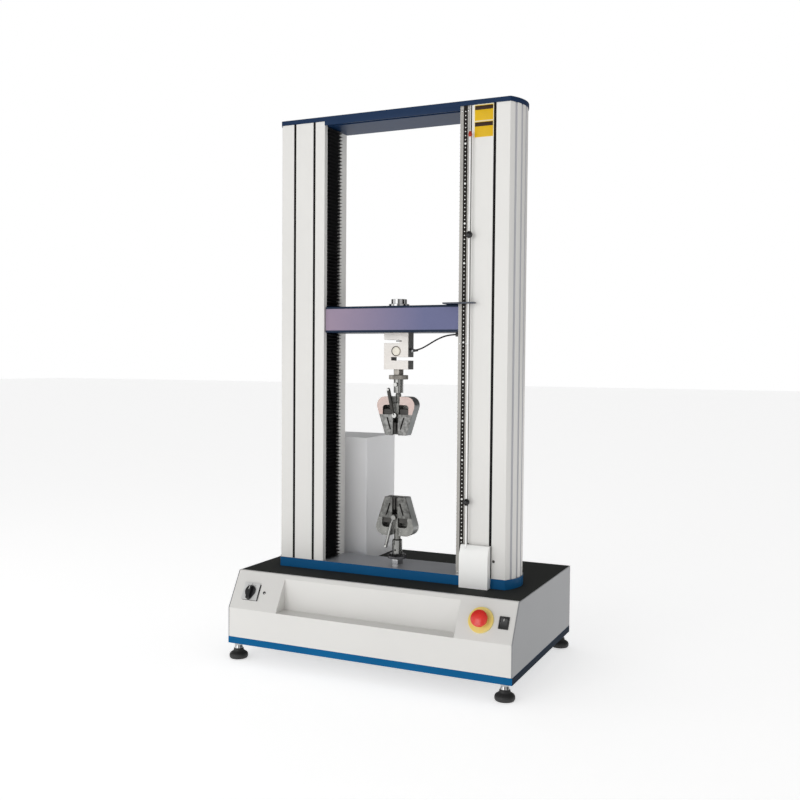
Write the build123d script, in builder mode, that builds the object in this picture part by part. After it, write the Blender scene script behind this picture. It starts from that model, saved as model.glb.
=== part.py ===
from build123d import *
import os
from math import atan2, cos, degrees, hypot, pi, radians, sin, tan

os.makedirs("parts", exist_ok=True)

# Sizes in millimetres. The origin is on the floor under the middle of the base, X to the right, Y to the back.

# Base
base_width = 800.0
base_depth = 516.0
base_bottom = 42.0
plinth_height = 18.0
plinth_top = base_bottom + plinth_height
upright_height = 78.0
kink_height = plinth_top + upright_height
slope_height = 90.0
deck_top = kink_height + slope_height
mat_thickness = 2.0
slope_run = 52.0
sheet = 3.0
floor_thickness = 6.0
deck_thickness = 6.0
rail_thickness = 8.0
panel_lip = 8.0
edge_gap = 0.5
tray_margin = 149.0
tray_half = base_width / 2 - tray_margin
tray_depth = 46.0
tray_drop = 8.0
tray_top = deck_top - tray_drop
foot_inset_x = 23.0
foot_inset_y = 16.0
foot_x = base_width / 2 - foot_inset_x
foot_y = base_depth / 2 - foot_inset_y
pad_radius = 25.0
pad_rim = 8.0
pad_height = 28.0
pad_neck = 14.0
pad_shoulder = 20.0
stud_radius = 6.0
stud_cone = 12.0
stud_cone_height = 8.0
stud_end = 24.0
stud_top = base_bottom + stud_end
vent_length = 70.0
vent_width = 5.0
vent_pitch = 12.0
vent_x = 90.0
vent_drop = 43.0
vent_height = deck_top - vent_drop
inlet_margin = 100.0
inlet_x = base_width / 2 - inlet_margin
inlet_rise = 50.0
inlet_height = plinth_top + inlet_rise
inlet_width = 47.0
inlet_tall = 26.0
inlet_depth = 30.0
inlet_flange = 6.0
inlet_flange_thickness = 2.0
socket_width = 27.0
socket_tall = 19.0
socket_depth = 18.0
blade_width = 2.0
blade_tall = 6.0
blade_length = 14.0
blade_pitch = 7.0

# Frame above the base
machine_y = -43.0
bed_margin = 49.0
bed_end = base_width / 2 - bed_margin
bed_round = 22.0
bed_flat = bed_end - bed_round
bed_half_depth = 65.0
bed_thickness = 27.0
bed_top = deck_top + bed_thickness
column_setback = 2.0
column_end = bed_end - column_setback
column_round = 21.0
column_flat = column_end - column_round
column_width = 132.5
column_inner = column_flat - column_width
column_recess = 2.0
column_half_depth = bed_half_depth - column_recess
column_height = 1192.0
column_top = bed_top + column_height
front_wall = 16.0
rear_wall = 16.0
rear_flange = 38.0
inner_wall = 9.5
outer_wall = 10.0
channel_outer = column_flat - outer_wall
slot_inset = 32.0
slot_x_inner = column_inner + slot_inset
slot_outset = 40.0
slot_x_outer = column_flat - slot_outset
slot_width = 7.0
slot_mouth = 5.0
slot_room = 14.0
slot_room_depth = 6.0
cover_depth = 3.5
cover_recess = 1.0
flute_radius = 4.0
flute_turn = 13.0
top_plate_thickness = 12.0
top_plate_top = column_top + top_plate_thickness
beam_front = 49.0
beam_thickness = 11.0

# Drive
screw_inset = 42.5
screw_x = column_inner + screw_inset
screw_radius = 10.0
journal_radius = 8.5
end_radius = 6.0
screw_shoulder = 10.0
screw_low = bed_top + screw_shoulder
screw_head = 24.0
screw_high = column_top - screw_head
screw_foot = 58.0
screw_bottom = base_bottom + screw_foot
screw_end_gap = 3.0
screw_top = column_top - screw_end_gap
running_fit = 0.05
housing_radius = 24.7
housing_hole = 25.0
housing_flange = 32.0
housing_flange_height = 8.0
housing_drop = 14.0
housing_bottom = deck_top - housing_drop
upper_housing_radius = 28.0
upper_housing_height = 22.0
rod_inset = 94.5
rod_x = column_inner + rod_inset
rod_radius = 11.0
belt_rise = 78.0
belt_middle = base_bottom + belt_rise
belt_half = 11.0
belt_thickness = 2.5
belt_gap = 0.3
pulley_radius = 30.0
pulley_half = 12.0
pulley_flange = 2.0
motor_pulley_radius = 20.0
motor_flange = 140.0
motor_flange_height = 12.0
motor_width = 110.0
motor_height = 172.0
motor_top = deck_top + motor_height
encoder_width = 86.0
encoder_height = 40.0
encoder_top = motor_top + encoder_height
motor_shaft_radius = 7.0
motor_shaft_reach = 62.0
motor_shaft_top = deck_top + motor_shaft_reach

# Rear housing
rear_margin = 25.0
rear_left = rear_margin - base_width / 2
rear_width = 232.0
rear_right = rear_left + rear_width
rear_gap = 33.0
rear_front = machine_y + bed_half_depth + rear_gap
rear_lip = 13.0
rear_back = base_depth / 2 - rear_lip
rear_height = 356.0
rear_top = deck_top + rear_height
motor_inset = 115.0
motor_x = rear_left + motor_inset
motor_y = (rear_front + rear_back) / 2
belt_room = 22.0
window_low = belt_middle - belt_room
window_high = belt_middle + belt_room
window_side = 40.0
window_left = motor_x - window_side
window_inset = 38.0
window_right = screw_x - window_inset
rear_sheet = 2.5
rear_corner = 6.0
grille_length = 90.0
grille_pitch = 14.0
grille_drop = 114.0
grille_height = rear_top - grille_drop

# Crosshead
head_rise = 624.0
head_bottom = bed_top + head_rise
head_height = 70.0
head_top = head_bottom + head_height
head_gap = 2.0
head_half = column_inner - head_gap
head_front = 57.0
head_back = 51.0
head_edge = 3.0
arm_half_height = 25.0
carriage_half_height = 30.0
channel_gap = 4.0
carriage_inset = 12.5
carriage_start = column_inner + carriage_inset
carriage_end = channel_outer - channel_gap
bearing_hole = 17.0
bearing_radius = 16.7
bearing_flange_height = 7.0
nut_flange_radius = 23.0
bush_flange_radius = 20.0
bush_fit = 0.05
top_flange_radius = 27.5
top_flange_height = 7.0
top_nut_radius = 21.0
top_nut_height = 20.0
top_nut_top = head_top + top_nut_height
top_nut_bore = 8.0
finger_thickness = 4.0
finger_reach = 35.5
finger_left = column_inner - finger_reach
finger_clearance = 10.5
finger_step = column_inner - finger_clearance
finger_overhang = 48.5
finger_right = column_inner + finger_overhang
finger_back = 37.0
finger_gap = 4.0
finger_inner = column_half_depth + finger_gap
finger_width = 18.0
finger_front = finger_inner + finger_width
finger_hole = 3.6

# Bellows
pleat_proud = 8.5
pleat_peak = column_inner - pleat_proud
pleat_depth = 14.0
pleat_valley = pleat_peak + pleat_depth
pleat_sheet = 1.6
pleat_pitch = 13.0
bellows_side_gap = 1.5
bellows_end = 2.0

# Load cell and its cable
cell_half = 36.0
cell_half_depth = 17.5
cell_height = 98.0
cell_bottom = head_bottom - cell_height
cell_slot = 9.0
upper_slot_drop = 23.0
upper_slot_z = head_bottom - upper_slot_drop
upper_slot_end = 10.0
lower_slot_rise = 28.5
lower_slot_z = cell_bottom + lower_slot_rise
lower_slot_end = 14.0
plug_z = (head_bottom + cell_bottom) / 2
plug_radius = 13.5
plug_ring = 1.8
plug_groove_depth = 2.0
cable_radius = 2.0
cable_drop = 47.0
cable_z = head_bottom - cable_drop
gland_radius = 6.0
gland_length = 8.0
socket_inset = 23.5
socket_x = column_inner - socket_inset
socket_size = 11.0
cable_end_drop = 5.5
cable_sideways = 17.0
cable_end_y = machine_y - cable_sideways
cable_shares = (
    (0.156, 0.0, 0.0),
    (0.3125, 0.147, 0.1325),
    (0.492, 0.441, 0.446),
    (0.672, 0.794, 0.819),
    (0.836, 1.0, 1.0),
)

# Load strings
hex_radius = 14.5
hex_height = 15.0
hex_low = cell_bottom - hex_height
ring_height = 12.0
ring_low = hex_low - ring_height
ring_radius = 26.0
ring_chamfer = 2.0
string_stud_radius = 8.0
ring_fit = 0.1
loose_fit = 0.3
end_float = 0.2
coupling_radius = 13.0
coupling_height = 36.0
coupling_low = ring_low - coupling_height
coupling_bore = 9.0
coupling_roof = 6.0
coupling_bore_top = ring_low - coupling_roof
pin_drop = 13.5
pin_z = ring_low - pin_drop
pin_radius = 4.0
pin_reach = 22.0
pin_head_radius = 5.5
pin_head_length = 8.0
pin_back = 12.0
tenon_radius = 6.2
tenon_play = 2.0
tenon_top = coupling_bore_top - tenon_play
ball_drop = 7.0
ball_z = coupling_low - ball_drop
ball_radius = 8.0
lower_hex_radius = 17.0
lower_hex_height = 13.0
lower_hex_top = bed_top + lower_hex_height
lower_ring_gap = 2.0
lower_ring_low = lower_hex_top + lower_ring_gap
lower_ring_height = 13.0
lower_ring_top = lower_ring_low + lower_ring_height
lower_ring_radius = 25.5
lower_ring_chamfer = 6.0
spindle_radius = 13.7
spindle_height = 39.0
spindle_top = lower_ring_top + spindle_height
spindle_chamfer = 3.0
spindle_hole_rise = 10.0
spindle_hole_z = lower_ring_top + spindle_hole_rise
spindle_hole_radius = 2.5
lower_neck_radius = 9.0

# Grips, heights measured from the mouth where the specimen enters
upper_mouth_drop = 114.0
upper_mouth = coupling_low - upper_mouth_drop
lower_mouth_rise = 115.0
lower_mouth = spindle_top + lower_mouth_rise
grip_half_depth = 18.0
grip_mouth_half = 30.5
grip_side_height = 73.0
grip_side_half = 54.0
grip_round_half = 50.0
grip_round_height = 95.5
grip_top_half = 33.0
grip_height = 104.0
grip_slot_half = 12.0
grip_slot_from = 86.0
cavity_mouth_half = 20.0
cavity_top_half = 46.0
cavity_height = 82.0
grip_wall = 5.0
plate_height = 56.0
plate_inner = 8.0
window_half = 38.0
window_round = 9.0
foot_half = 7.7
foot_from = 48.0
foot_front = 15.0
grip_neck_radius = 6.2
guide_height = 32.0
guide_x = 19.7
guide_length = 34.0
guide_width = 4.0
guide_pin_radius = 1.6
jaw_face = 2.0
jaw_step = 10.5
jaw_low = 2.0
jaw_step_height = 34.0
jaw_height = 70.0
jaw_gap = 0.6
lever_height = 54.0
lever_y = 24.0
hub_radius = 6.5
hub_half_length = 4.0
hub_pin_radius = 4.0
lever_bend_x = 6.0
lever_bend_height = 70.0
lever_bend_y = 26.0
lever_tip_x = 14.7
lever_tip_height = 123.0
lever_tip_y = 32.0
lower_tip_x = 19.0
lower_tip_height = 131.0
upper_lever_radius = 5.0
lower_lever_radius = 4.2
lower_tip_radius = 5.2

# Ruler and limit system
ruler_inset = 1.0
ruler_left = column_inner + ruler_inset
ruler_width = 25.5
ruler_right = ruler_left + ruler_width
ruler_thickness = 1.0
ruler_foot = 2.0
ruler_bottom = bed_top + ruler_foot
ruler_head = 7.0
ruler_top = column_top - ruler_head
limit_inset = 32.5
limit_x = column_inner + limit_inset
limit_front = 14.0
limit_y = machine_y - column_half_depth - limit_front
limit_radius = 2.5
limit_foot = 12.0
limit_bottom = deck_top + limit_foot
limit_head = 67.0
limit_top = column_top - limit_head
cap_hold = 16.0
cap_low = limit_top - cap_hold
cap_end = 5.0
cap_high = limit_top + cap_end
cap_radius = 5.5
cap_point = 2.5
upper_collar_share = 0.41
lower_collar_share = 0.2015
collar_radius = 7.0
collar_half = 8.0
knob_radius = 7.0
knob_reach = 24.0
knob_length = 12.0
knob_stem = 3.0
box_inset = 17.5
box_left = column_inner + box_inset
box_width = 77.0
box_right = box_left + box_width
box_depth = 22.0
box_front = machine_y - bed_half_depth - box_depth
box_height = 110.0
box_top = deck_top + box_height
box_kink_drop = 24.0
box_kink = box_top - box_kink_drop
box_slope = 12.0
box_sheet = 2.0
box_shelf_rise = 22.0
box_shelf = deck_top + box_shelf_rise
box_shelf_thickness = 4.0
box_room = 84.0

# Controls on the slope
controls_rise = 44.0
controls_z = kink_height + controls_rise
rotary_margin = 56.0
rotary_x = rotary_margin - base_width / 2
rotary_width = 48.0
rotary_tall = 48.0
rotary_plate_thickness = 2.0
rotary_shaft = 4.0
rotary_disc = 15.5
rotary_disc_height = 5.0
rotary_tail = 17.0
rotary_tail_radius = 7.5
rotary_bar_width = 10.0
rotary_bar_length = 36.0
rotary_bar_drop = 5.0
rotary_bar_height = 18.0
stem_depth = 20.0
stop_margin = 88.0
stop_x = base_width / 2 - stop_margin
stop_disc = 32.0
stop_disc_height = 4.0
stop_collar = 17.0
stop_collar_height = 8.0
stop_stem = 8.0
stop_head_low = 13.0
stop_head_radius = 21.0
stop_head_edge = 20.0
stop_head_top = 25.0
stop_crown = 11.0
rocker_margin = 30.0
rocker_x = base_width / 2 - rocker_margin
rocker_width = 25.0
rocker_tall = 31.0
rocker_rim = 3.0
rocker_frame_height = 2.5
rocker_gap = 0.3
rocker_drop = 2.0
rocker_valley = 3.0
rocker_end = 5.0
rocker_tilt = 7.0

base_top = deck_top + mat_thickness
half_width = base_width / 2
half_depth = base_depth / 2
slope_rise = base_top - kink_height
slope_length = hypot(slope_run, slope_rise)
sheet_across = sheet * slope_length / slope_rise
lip_back = -half_depth + slope_run + panel_lip
bed_front = machine_y - bed_half_depth
column_front = machine_y - column_half_depth
finger_top = head_top + finger_thickness
column_back = machine_y + column_half_depth


def slope_y(height):
    return -half_depth + slope_run * (height - kink_height) / slope_rise


slope_plane = Plane(
    origin=(0, slope_y(controls_z), controls_z), x_dir=(1, 0, 0), z_dir=(0, -slope_rise, slope_run)
)

# Blue tray under the base: floor and the band that shows all round
with BuildPart() as base_tray:
    with BuildSketch(Plane.XY.offset(base_bottom)):
        Rectangle(base_width, base_depth)
    extrude(amount=plinth_top - base_bottom)
    with BuildSketch(Plane.XY.offset(base_bottom + floor_thickness)):
        Rectangle(base_width - 2 * sheet, base_depth - 2 * sheet)
    extrude(amount=plinth_top - base_bottom, mode=Mode.SUBTRACT)
    with BuildSketch(Plane.XY.offset(base_bottom)):
        with GridLocations(2 * foot_x, 2 * foot_y, 2, 2):
            Circle(stud_radius + loose_fit)
    extrude(amount=floor_thickness, mode=Mode.SUBTRACT)
base_tray.part.label = "base_tray"
export_step(base_tray.part, "parts/base_tray.step")

# White sides and back, one bent sheet
with BuildPart() as base_cover:
    with BuildSketch(Plane.YZ):
        Polygon(
            (-half_depth, plinth_top),
            (half_depth, plinth_top),
            (half_depth, base_top),
            (slope_y(base_top), base_top),
            (-half_depth, kink_height),
            align=None,
        )
    extrude(amount=half_width, both=True)
    with BuildSketch(Plane.XY.offset(plinth_top)):
        with Locations((0, -sheet)):
            Rectangle(base_width - 2 * sheet, base_depth)
    extrude(amount=base_top, mode=Mode.SUBTRACT)
    with BuildSketch(Plane.XZ.offset(-half_depth)):
        with Locations((vent_x, vent_height)):
            with GridLocations(vent_x, vent_pitch, 2, 4):
                Rectangle(vent_length, vent_width)
        with Locations((inlet_x, inlet_height)):
            Rectangle(inlet_width + 2 * loose_fit, inlet_tall + 2 * loose_fit)
    extrude(amount=sheet, mode=Mode.SUBTRACT)
base_cover.part.label = "base_cover"
export_step(base_cover.part, "parts/base_cover.step")

# Front panel: upright, slope, top lip and the pen tray let into the slope
kink_inner = kink_height + (sheet - sheet_across) * slope_rise / slope_run
with BuildPart() as front_panel:
    with BuildSketch(Plane.YZ):
        Polygon(
            (-half_depth, plinth_top),
            (-half_depth, kink_height),
            (slope_y(base_top), base_top),
            (lip_back, base_top),
            (lip_back, base_top - sheet),
            (slope_y(base_top - sheet) + sheet_across, base_top - sheet),
            (-half_depth + sheet, kink_inner),
            (-half_depth + sheet, plinth_top),
            align=None,
        )
    extrude(amount=half_width - sheet, both=True)
    with BuildSketch(Plane.YZ):
        Polygon(
            (-half_depth, kink_height),
            (-half_depth, kink_height - sheet),
            (-half_depth + tray_depth + sheet, kink_height - sheet),
            (slope_y(tray_top) + sheet_across, tray_top),
            (slope_y(tray_top), tray_top),
            align=None,
        )
    extrude(amount=tray_half + sheet, both=True)
    with BuildSketch(Plane.YZ):
        Polygon(
            (-half_depth, kink_height),
            (-half_depth + tray_depth, kink_height),
            (slope_y(tray_top), tray_top),
            (-half_depth, tray_top),
            align=None,
        )
    extrude(amount=tray_half, both=True, mode=Mode.SUBTRACT)
    with BuildSketch(slope_plane):
        with Locations((rotary_x, 0)):
            Circle(rotary_shaft + ring_fit)
        with Locations((stop_x, 0)):
            Circle(stop_stem + ring_fit)
        with Locations((rocker_x, 0)):
            Rectangle(rocker_width - 2 * rocker_rim, rocker_tall - 2 * rocker_rim)
    extrude(amount=-2 * sheet, mode=Mode.SUBTRACT)
front_panel.part.label = "front_panel"
export_step(front_panel.part, "parts/front_panel.step")

# Welded frame inside the base: deck and the box of rails under the bed plate
with BuildPart() as base_frame:
    with BuildSketch(Plane.XY.offset(deck_top - deck_thickness)):
        with Locations((0, (lip_back + half_depth - sheet) / 2)):
            Rectangle(base_width - 2 * sheet, half_depth - sheet - lip_back)
    extrude(amount=deck_thickness)
    with BuildSketch(Plane.XY.offset(base_bottom + floor_thickness)):
        with Locations((0, machine_y)):
            Rectangle(2 * bed_flat, 2 * bed_half_depth)
            Rectangle(
                2 * bed_flat - 2 * rail_thickness, 2 * bed_half_depth - 2 * rail_thickness, mode=Mode.SUBTRACT
            )
    extrude(amount=deck_top - deck_thickness - base_bottom - floor_thickness)
    with BuildSketch(Plane.XZ.offset(-machine_y)):
        with Locations(((window_left + window_right) / 2, (window_low + window_high) / 2)):
            Rectangle(window_right - window_left, window_high - window_low)
    extrude(amount=-bed_half_depth, mode=Mode.SUBTRACT)
    with BuildSketch(Plane.XY.offset(deck_top - deck_thickness)):
        with Locations((-screw_x, machine_y), (screw_x, machine_y)):
            Circle(housing_hole)
        with Locations((motor_x, motor_y)):
            Circle(motor_pulley_radius)
    extrude(amount=deck_thickness, mode=Mode.SUBTRACT)
base_frame.part.label = "base_frame"
export_step(base_frame.part, "parts/base_frame.step")

# Black mat round the bed plate
with BuildPart() as deck_mat:
    with BuildSketch(Plane.XY.offset(deck_top)):
        with Locations((0, (lip_back + half_depth - sheet) / 2)):
            Rectangle(base_width - 2 * sheet - 2 * edge_gap, half_depth - sheet - lip_back - 2 * edge_gap)
        with BuildLine():
            Line((bed_flat, bed_front - edge_gap), (-bed_flat, bed_front - edge_gap))
            ThreePointArc(
                (-bed_flat, bed_front - edge_gap),
                (-bed_end - edge_gap, machine_y),
                (-bed_flat, machine_y + bed_half_depth + edge_gap),
            )
            Line(
                (-bed_flat, machine_y + bed_half_depth + edge_gap),
                (bed_flat, machine_y + bed_half_depth + edge_gap),
            )
            ThreePointArc(
                (bed_flat, machine_y + bed_half_depth + edge_gap),
                (bed_end + edge_gap, machine_y),
                (bed_flat, bed_front - edge_gap),
            )
        make_face(mode=Mode.SUBTRACT)
        with Locations((motor_x, motor_y)):
            Rectangle(motor_flange + 2 * edge_gap, motor_flange + 2 * edge_gap, mode=Mode.SUBTRACT)
    extrude(amount=mat_thickness)
deck_mat.part.label = "deck_mat"
export_step(deck_mat.part, "parts/deck_mat.step")

# Four rubber feet and their studs
with BuildPart() as foot_pads:
    for x_side in (-1, 1):
        for y_side in (-1, 1):
            with BuildSketch(Plane.XZ.offset(-y_side * foot_y)):
                with Locations((x_side * foot_x, 0)):
                    Polygon(
                        (0, 0),
                        (pad_radius, 0),
                        (pad_radius, pad_rim),
                        (pad_shoulder, pad_height - pad_rim),
                        (pad_neck, pad_height),
                        (0, pad_height),
                        align=None,
                    )
            revolve(axis=Axis((x_side * foot_x, y_side * foot_y, 0), (0, 0, 1)))
foot_pads.part.label = "foot_pads"
export_step(foot_pads.part, "parts/foot_pads.step")

with BuildPart() as foot_studs:
    with BuildSketch(Plane.XY.offset(pad_height)):
        with GridLocations(2 * foot_x, 2 * foot_y, 2, 2):
            Circle(stud_cone)
    extrude(amount=stud_cone_height, taper=degrees(atan2(stud_cone - stud_radius, stud_cone_height)) / 2)
    with BuildSketch(Plane.XY.offset(pad_height)):
        with GridLocations(2 * foot_x, 2 * foot_y, 2, 2):
            Circle(stud_radius)
    extrude(amount=stud_top - pad_height)
    with BuildSketch(Plane.XY.offset(base_bottom - floor_thickness)):
        with GridLocations(2 * foot_x, 2 * foot_y, 2, 2):
            RegularPolygon(stud_cone, 6)
    extrude(amount=floor_thickness)
foot_studs.part.label = "foot_studs"
export_step(foot_studs.part, "parts/foot_studs.step")

# Bed plate
with BuildPart() as bed_plate:
    with BuildSketch(Plane.XY.offset(deck_top)):
        with BuildLine():
            Line((bed_flat, bed_front), (-bed_flat, bed_front))
            ThreePointArc((-bed_flat, bed_front), (-bed_end, machine_y), (-bed_flat, machine_y + bed_half_depth))
            Line((-bed_flat, machine_y + bed_half_depth), (bed_flat, machine_y + bed_half_depth))
            ThreePointArc((bed_flat, machine_y + bed_half_depth), (bed_end, machine_y), (bed_flat, bed_front))
        make_face()
        with Locations((-screw_x, machine_y), (screw_x, machine_y)):
            Circle(housing_hole, mode=Mode.SUBTRACT)
    extrude(amount=bed_top - deck_top)
bed_plate.part.label = "bed_plate"
export_step(bed_plate.part, "parts/bed_plate.step")

# Columns, a mirrored pair, open on the inner side, fluted at the outer end
column_sagitta = column_end - column_flat
column_arc = (column_half_depth**2 + column_sagitta**2) / (2 * column_sagitta)
for side, sign in (("left", -1), ("right", 1)):
    with BuildPart() as column:
        with BuildSketch(Plane.XY.offset(bed_top)):
            with BuildLine():
                Line((sign * column_inner, column_front), (sign * column_flat, column_front))
                ThreePointArc(
                    (sign * column_flat, column_front),
                    (sign * column_end, machine_y),
                    (sign * column_flat, column_back),
                )
                Line((sign * column_flat, column_back), (sign * column_inner, column_back))
                Line((sign * column_inner, column_back), (sign * column_inner, column_front))
            make_face()
            Polygon(
                (sign * column_inner, column_front + front_wall),
                (sign * channel_outer, column_front + front_wall),
                (sign * channel_outer, column_back - rear_wall),
                (sign * (column_inner + inner_wall), column_back - rear_wall),
                (sign * (column_inner + inner_wall), column_back - rear_flange),
                (sign * column_inner, column_back - rear_flange),
                align=None,
                mode=Mode.SUBTRACT,
            )
            with Locations((sign * slot_x_inner, column_front), (sign * slot_x_outer, column_front)):
                Rectangle(slot_width, 2 * slot_mouth, mode=Mode.SUBTRACT)
            with Locations(
                (sign * slot_x_inner, column_front + slot_mouth + slot_room_depth / 2),
                (sign * slot_x_outer, column_front + slot_mouth + slot_room_depth / 2),
            ):
                Rectangle(slot_room, slot_room_depth, mode=Mode.SUBTRACT)
            for step in (-2, -1, 0, 1, 2):
                turn = radians(flute_turn * step)
                with Locations(
                    (
                        sign * (column_end - column_arc + column_arc * cos(turn)),
                        machine_y + column_arc * sin(turn),
                    )
                ):
                    Circle(flute_radius, mode=Mode.SUBTRACT)
        extrude(amount=column_top - bed_top)
    column.part.label = f"column_{side}"
    export_step(column.part, f"parts/column_{side}.step")

# Black strips in the mouths of the column slots
with BuildPart() as slot_covers:
    with BuildSketch(Plane.XY.offset(bed_top)):
        for sign in (-1, 1):
            with Locations(
                (sign * slot_x_inner, column_front + cover_recess + cover_depth / 2),
                (sign * slot_x_outer, column_front + cover_recess + cover_depth / 2),
            ):
                Rectangle(slot_width, cover_depth)
    extrude(amount=column_top - bed_top)
slot_covers.part.label = "slot_covers"
export_step(slot_covers.part, "parts/slot_covers.step")

# Top plate and the beam under it
with BuildPart() as top_plate:
    with BuildSketch(Plane.XY.offset(column_top)):
        with BuildLine():
            Line((bed_flat, bed_front), (-bed_flat, bed_front))
            ThreePointArc((-bed_flat, bed_front), (-bed_end, machine_y), (-bed_flat, machine_y + bed_half_depth))
            Line((-bed_flat, machine_y + bed_half_depth), (bed_flat, machine_y + bed_half_depth))
            ThreePointArc((bed_flat, machine_y + bed_half_depth), (bed_end, machine_y), (bed_flat, bed_front))
        make_face()
    extrude(amount=top_plate_top - column_top)
top_plate.part.label = "top_plate"
export_step(top_plate.part, "parts/top_plate.step")

with BuildPart() as cross_beam:
    with BuildSketch(Plane.XY.offset(column_top - beam_thickness)):
        with Locations((0, (machine_y - beam_front + machine_y + bed_half_depth) / 2)):
            Rectangle(2 * column_inner, beam_front + bed_half_depth)
    extrude(amount=beam_thickness)
cross_beam.part.label = "cross_beam"
export_step(cross_beam.part, "parts/cross_beam.step")

# Guide rods
with BuildPart() as guide_rods:
    with BuildSketch(Plane.XY.offset(bed_top)):
        with Locations((-rod_x, machine_y), (rod_x, machine_y)):
            Circle(rod_radius)
    extrude(amount=column_top - bed_top)
guide_rods.part.label = "guide_rods"
export_step(guide_rods.part, "parts/guide_rods.step")

# Bearing housings of the two screws, below and above
with BuildPart() as screw_bearings:
    with BuildSketch(Plane.XY.offset(housing_bottom)):
        with Locations((-screw_x, machine_y), (screw_x, machine_y)):
            Circle(housing_radius)
    extrude(amount=bed_top - housing_bottom)
    with BuildSketch(Plane.XY.offset(bed_top)):
        with Locations((-screw_x, machine_y), (screw_x, machine_y)):
            Circle(housing_flange)
    extrude(amount=housing_flange_height)
    with BuildSketch(Plane.XY.offset(housing_bottom)):
        with Locations((-screw_x, machine_y), (screw_x, machine_y)):
            Circle(journal_radius + running_fit)
    extrude(amount=screw_low - housing_bottom, mode=Mode.SUBTRACT)
    with BuildSketch(Plane.XY.offset(column_top - upper_housing_height)):
        with Locations((-screw_x, machine_y), (screw_x, machine_y)):
            Circle(upper_housing_radius)
            Circle(end_radius + running_fit, mode=Mode.SUBTRACT)
    extrude(amount=upper_housing_height)
screw_bearings.part.label = "screw_bearings"
export_step(screw_bearings.part, "parts/screw_bearings.step")

# Ball screws with their belt pulleys
for side, sign in (("left", -1), ("right", 1)):
    with BuildPart() as ball_screw:
        for low, high, radius in (
            (screw_bottom, screw_low, journal_radius),
            (screw_low, screw_high, screw_radius),
            (screw_high, screw_top, end_radius),
            (belt_middle - pulley_half, belt_middle + pulley_half, pulley_radius),
            (belt_middle - pulley_half - pulley_flange, belt_middle - pulley_half, pulley_radius + pulley_flange),
            (belt_middle + pulley_half, belt_middle + pulley_half + pulley_flange, pulley_radius + pulley_flange),
        ):
            with BuildSketch(Plane.XY.offset(low)):
                with Locations((sign * screw_x, machine_y)):
                    Circle(radius)
            extrude(amount=high - low)
    ball_screw.part.label = f"ball_screw_{side}"
    export_step(ball_screw.part, f"parts/ball_screw_{side}.step")

# Servo motor standing on the deck, its shaft and pulley hang into the base
with BuildPart() as servo_motor:
    for low, high, width in (
        (deck_top, deck_top + motor_flange_height, motor_flange),
        (deck_top + motor_flange_height, motor_top, motor_width),
        (motor_top, encoder_top, encoder_width),
    ):
        with BuildSketch(Plane.XY.offset(low)):
            with Locations((motor_x, motor_y)):
                RectangleRounded(width, width, width / 12)
        extrude(amount=high - low)
    with BuildSketch(Plane.XY.offset(deck_top)):
        with Locations((motor_x, motor_y)):
            Circle(motor_shaft_radius + running_fit)
    extrude(amount=motor_shaft_top - deck_top + motor_flange_height, mode=Mode.SUBTRACT)
servo_motor.part.label = "servo_motor"
export_step(servo_motor.part, "parts/servo_motor.step")

with BuildPart() as motor_pulley:
    for low, high, radius in (
        (screw_bottom, motor_shaft_top, motor_shaft_radius),
        (belt_middle - pulley_half, belt_middle + pulley_half, motor_pulley_radius),
    ):
        with BuildSketch(Plane.XY.offset(low)):
            with Locations((motor_x, motor_y)):
                Circle(radius)
        extrude(amount=high - low)
motor_pulley.part.label = "motor_pulley"
export_step(motor_pulley.part, "parts/motor_pulley.step")

# Toothed belt round the three pulleys
with BuildPart() as timing_belt:
    with BuildSketch(Plane.XY.offset(belt_middle - belt_half)):
        with Locations((-screw_x, machine_y), (screw_x, machine_y)):
            Circle(pulley_radius + belt_gap + belt_thickness)
        with Locations((motor_x, motor_y)):
            Circle(motor_pulley_radius + belt_gap + belt_thickness)
        make_hull()
    extrude(amount=2 * belt_half)
    with BuildSketch(Plane.XY.offset(belt_middle - belt_half)):
        with Locations((-screw_x, machine_y), (screw_x, machine_y)):
            Circle(pulley_radius + belt_gap)
        with Locations((motor_x, motor_y)):
            Circle(motor_pulley_radius + belt_gap)
        make_hull()
    extrude(amount=2 * belt_half, mode=Mode.SUBTRACT)
timing_belt.part.label = "timing_belt"
export_step(timing_belt.part, "parts/timing_belt.step")

# Power inlet in the back
with BuildPart() as power_inlet:
    with BuildSketch(Plane.XZ.offset(-half_depth)):
        with Locations((inlet_x, inlet_height)):
            Rectangle(inlet_width + 2 * inlet_flange, inlet_tall + inlet_flange)
    extrude(amount=-inlet_flange_thickness)
    with BuildSketch(Plane.XZ.offset(-half_depth)):
        with Locations((inlet_x, inlet_height)):
            Rectangle(inlet_width, inlet_tall)
    extrude(amount=inlet_depth)
    with BuildSketch(Plane.XZ.offset(-half_depth - inlet_flange_thickness)):
        with Locations((inlet_x, inlet_height)):
            Rectangle(socket_width, socket_tall)
    extrude(amount=socket_depth, mode=Mode.SUBTRACT)
    with BuildSketch(Plane.XZ.offset(-half_depth - inlet_flange_thickness + socket_depth)):
        with Locations(
            (inlet_x - blade_pitch, inlet_height),
            (inlet_x, inlet_height + blade_width),
            (inlet_x + blade_pitch, inlet_height),
        ):
            Rectangle(blade_width, blade_tall)
    extrude(amount=-blade_length)
power_inlet.part.label = "power_inlet"
export_step(power_inlet.part, "parts/power_inlet.step")

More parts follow.
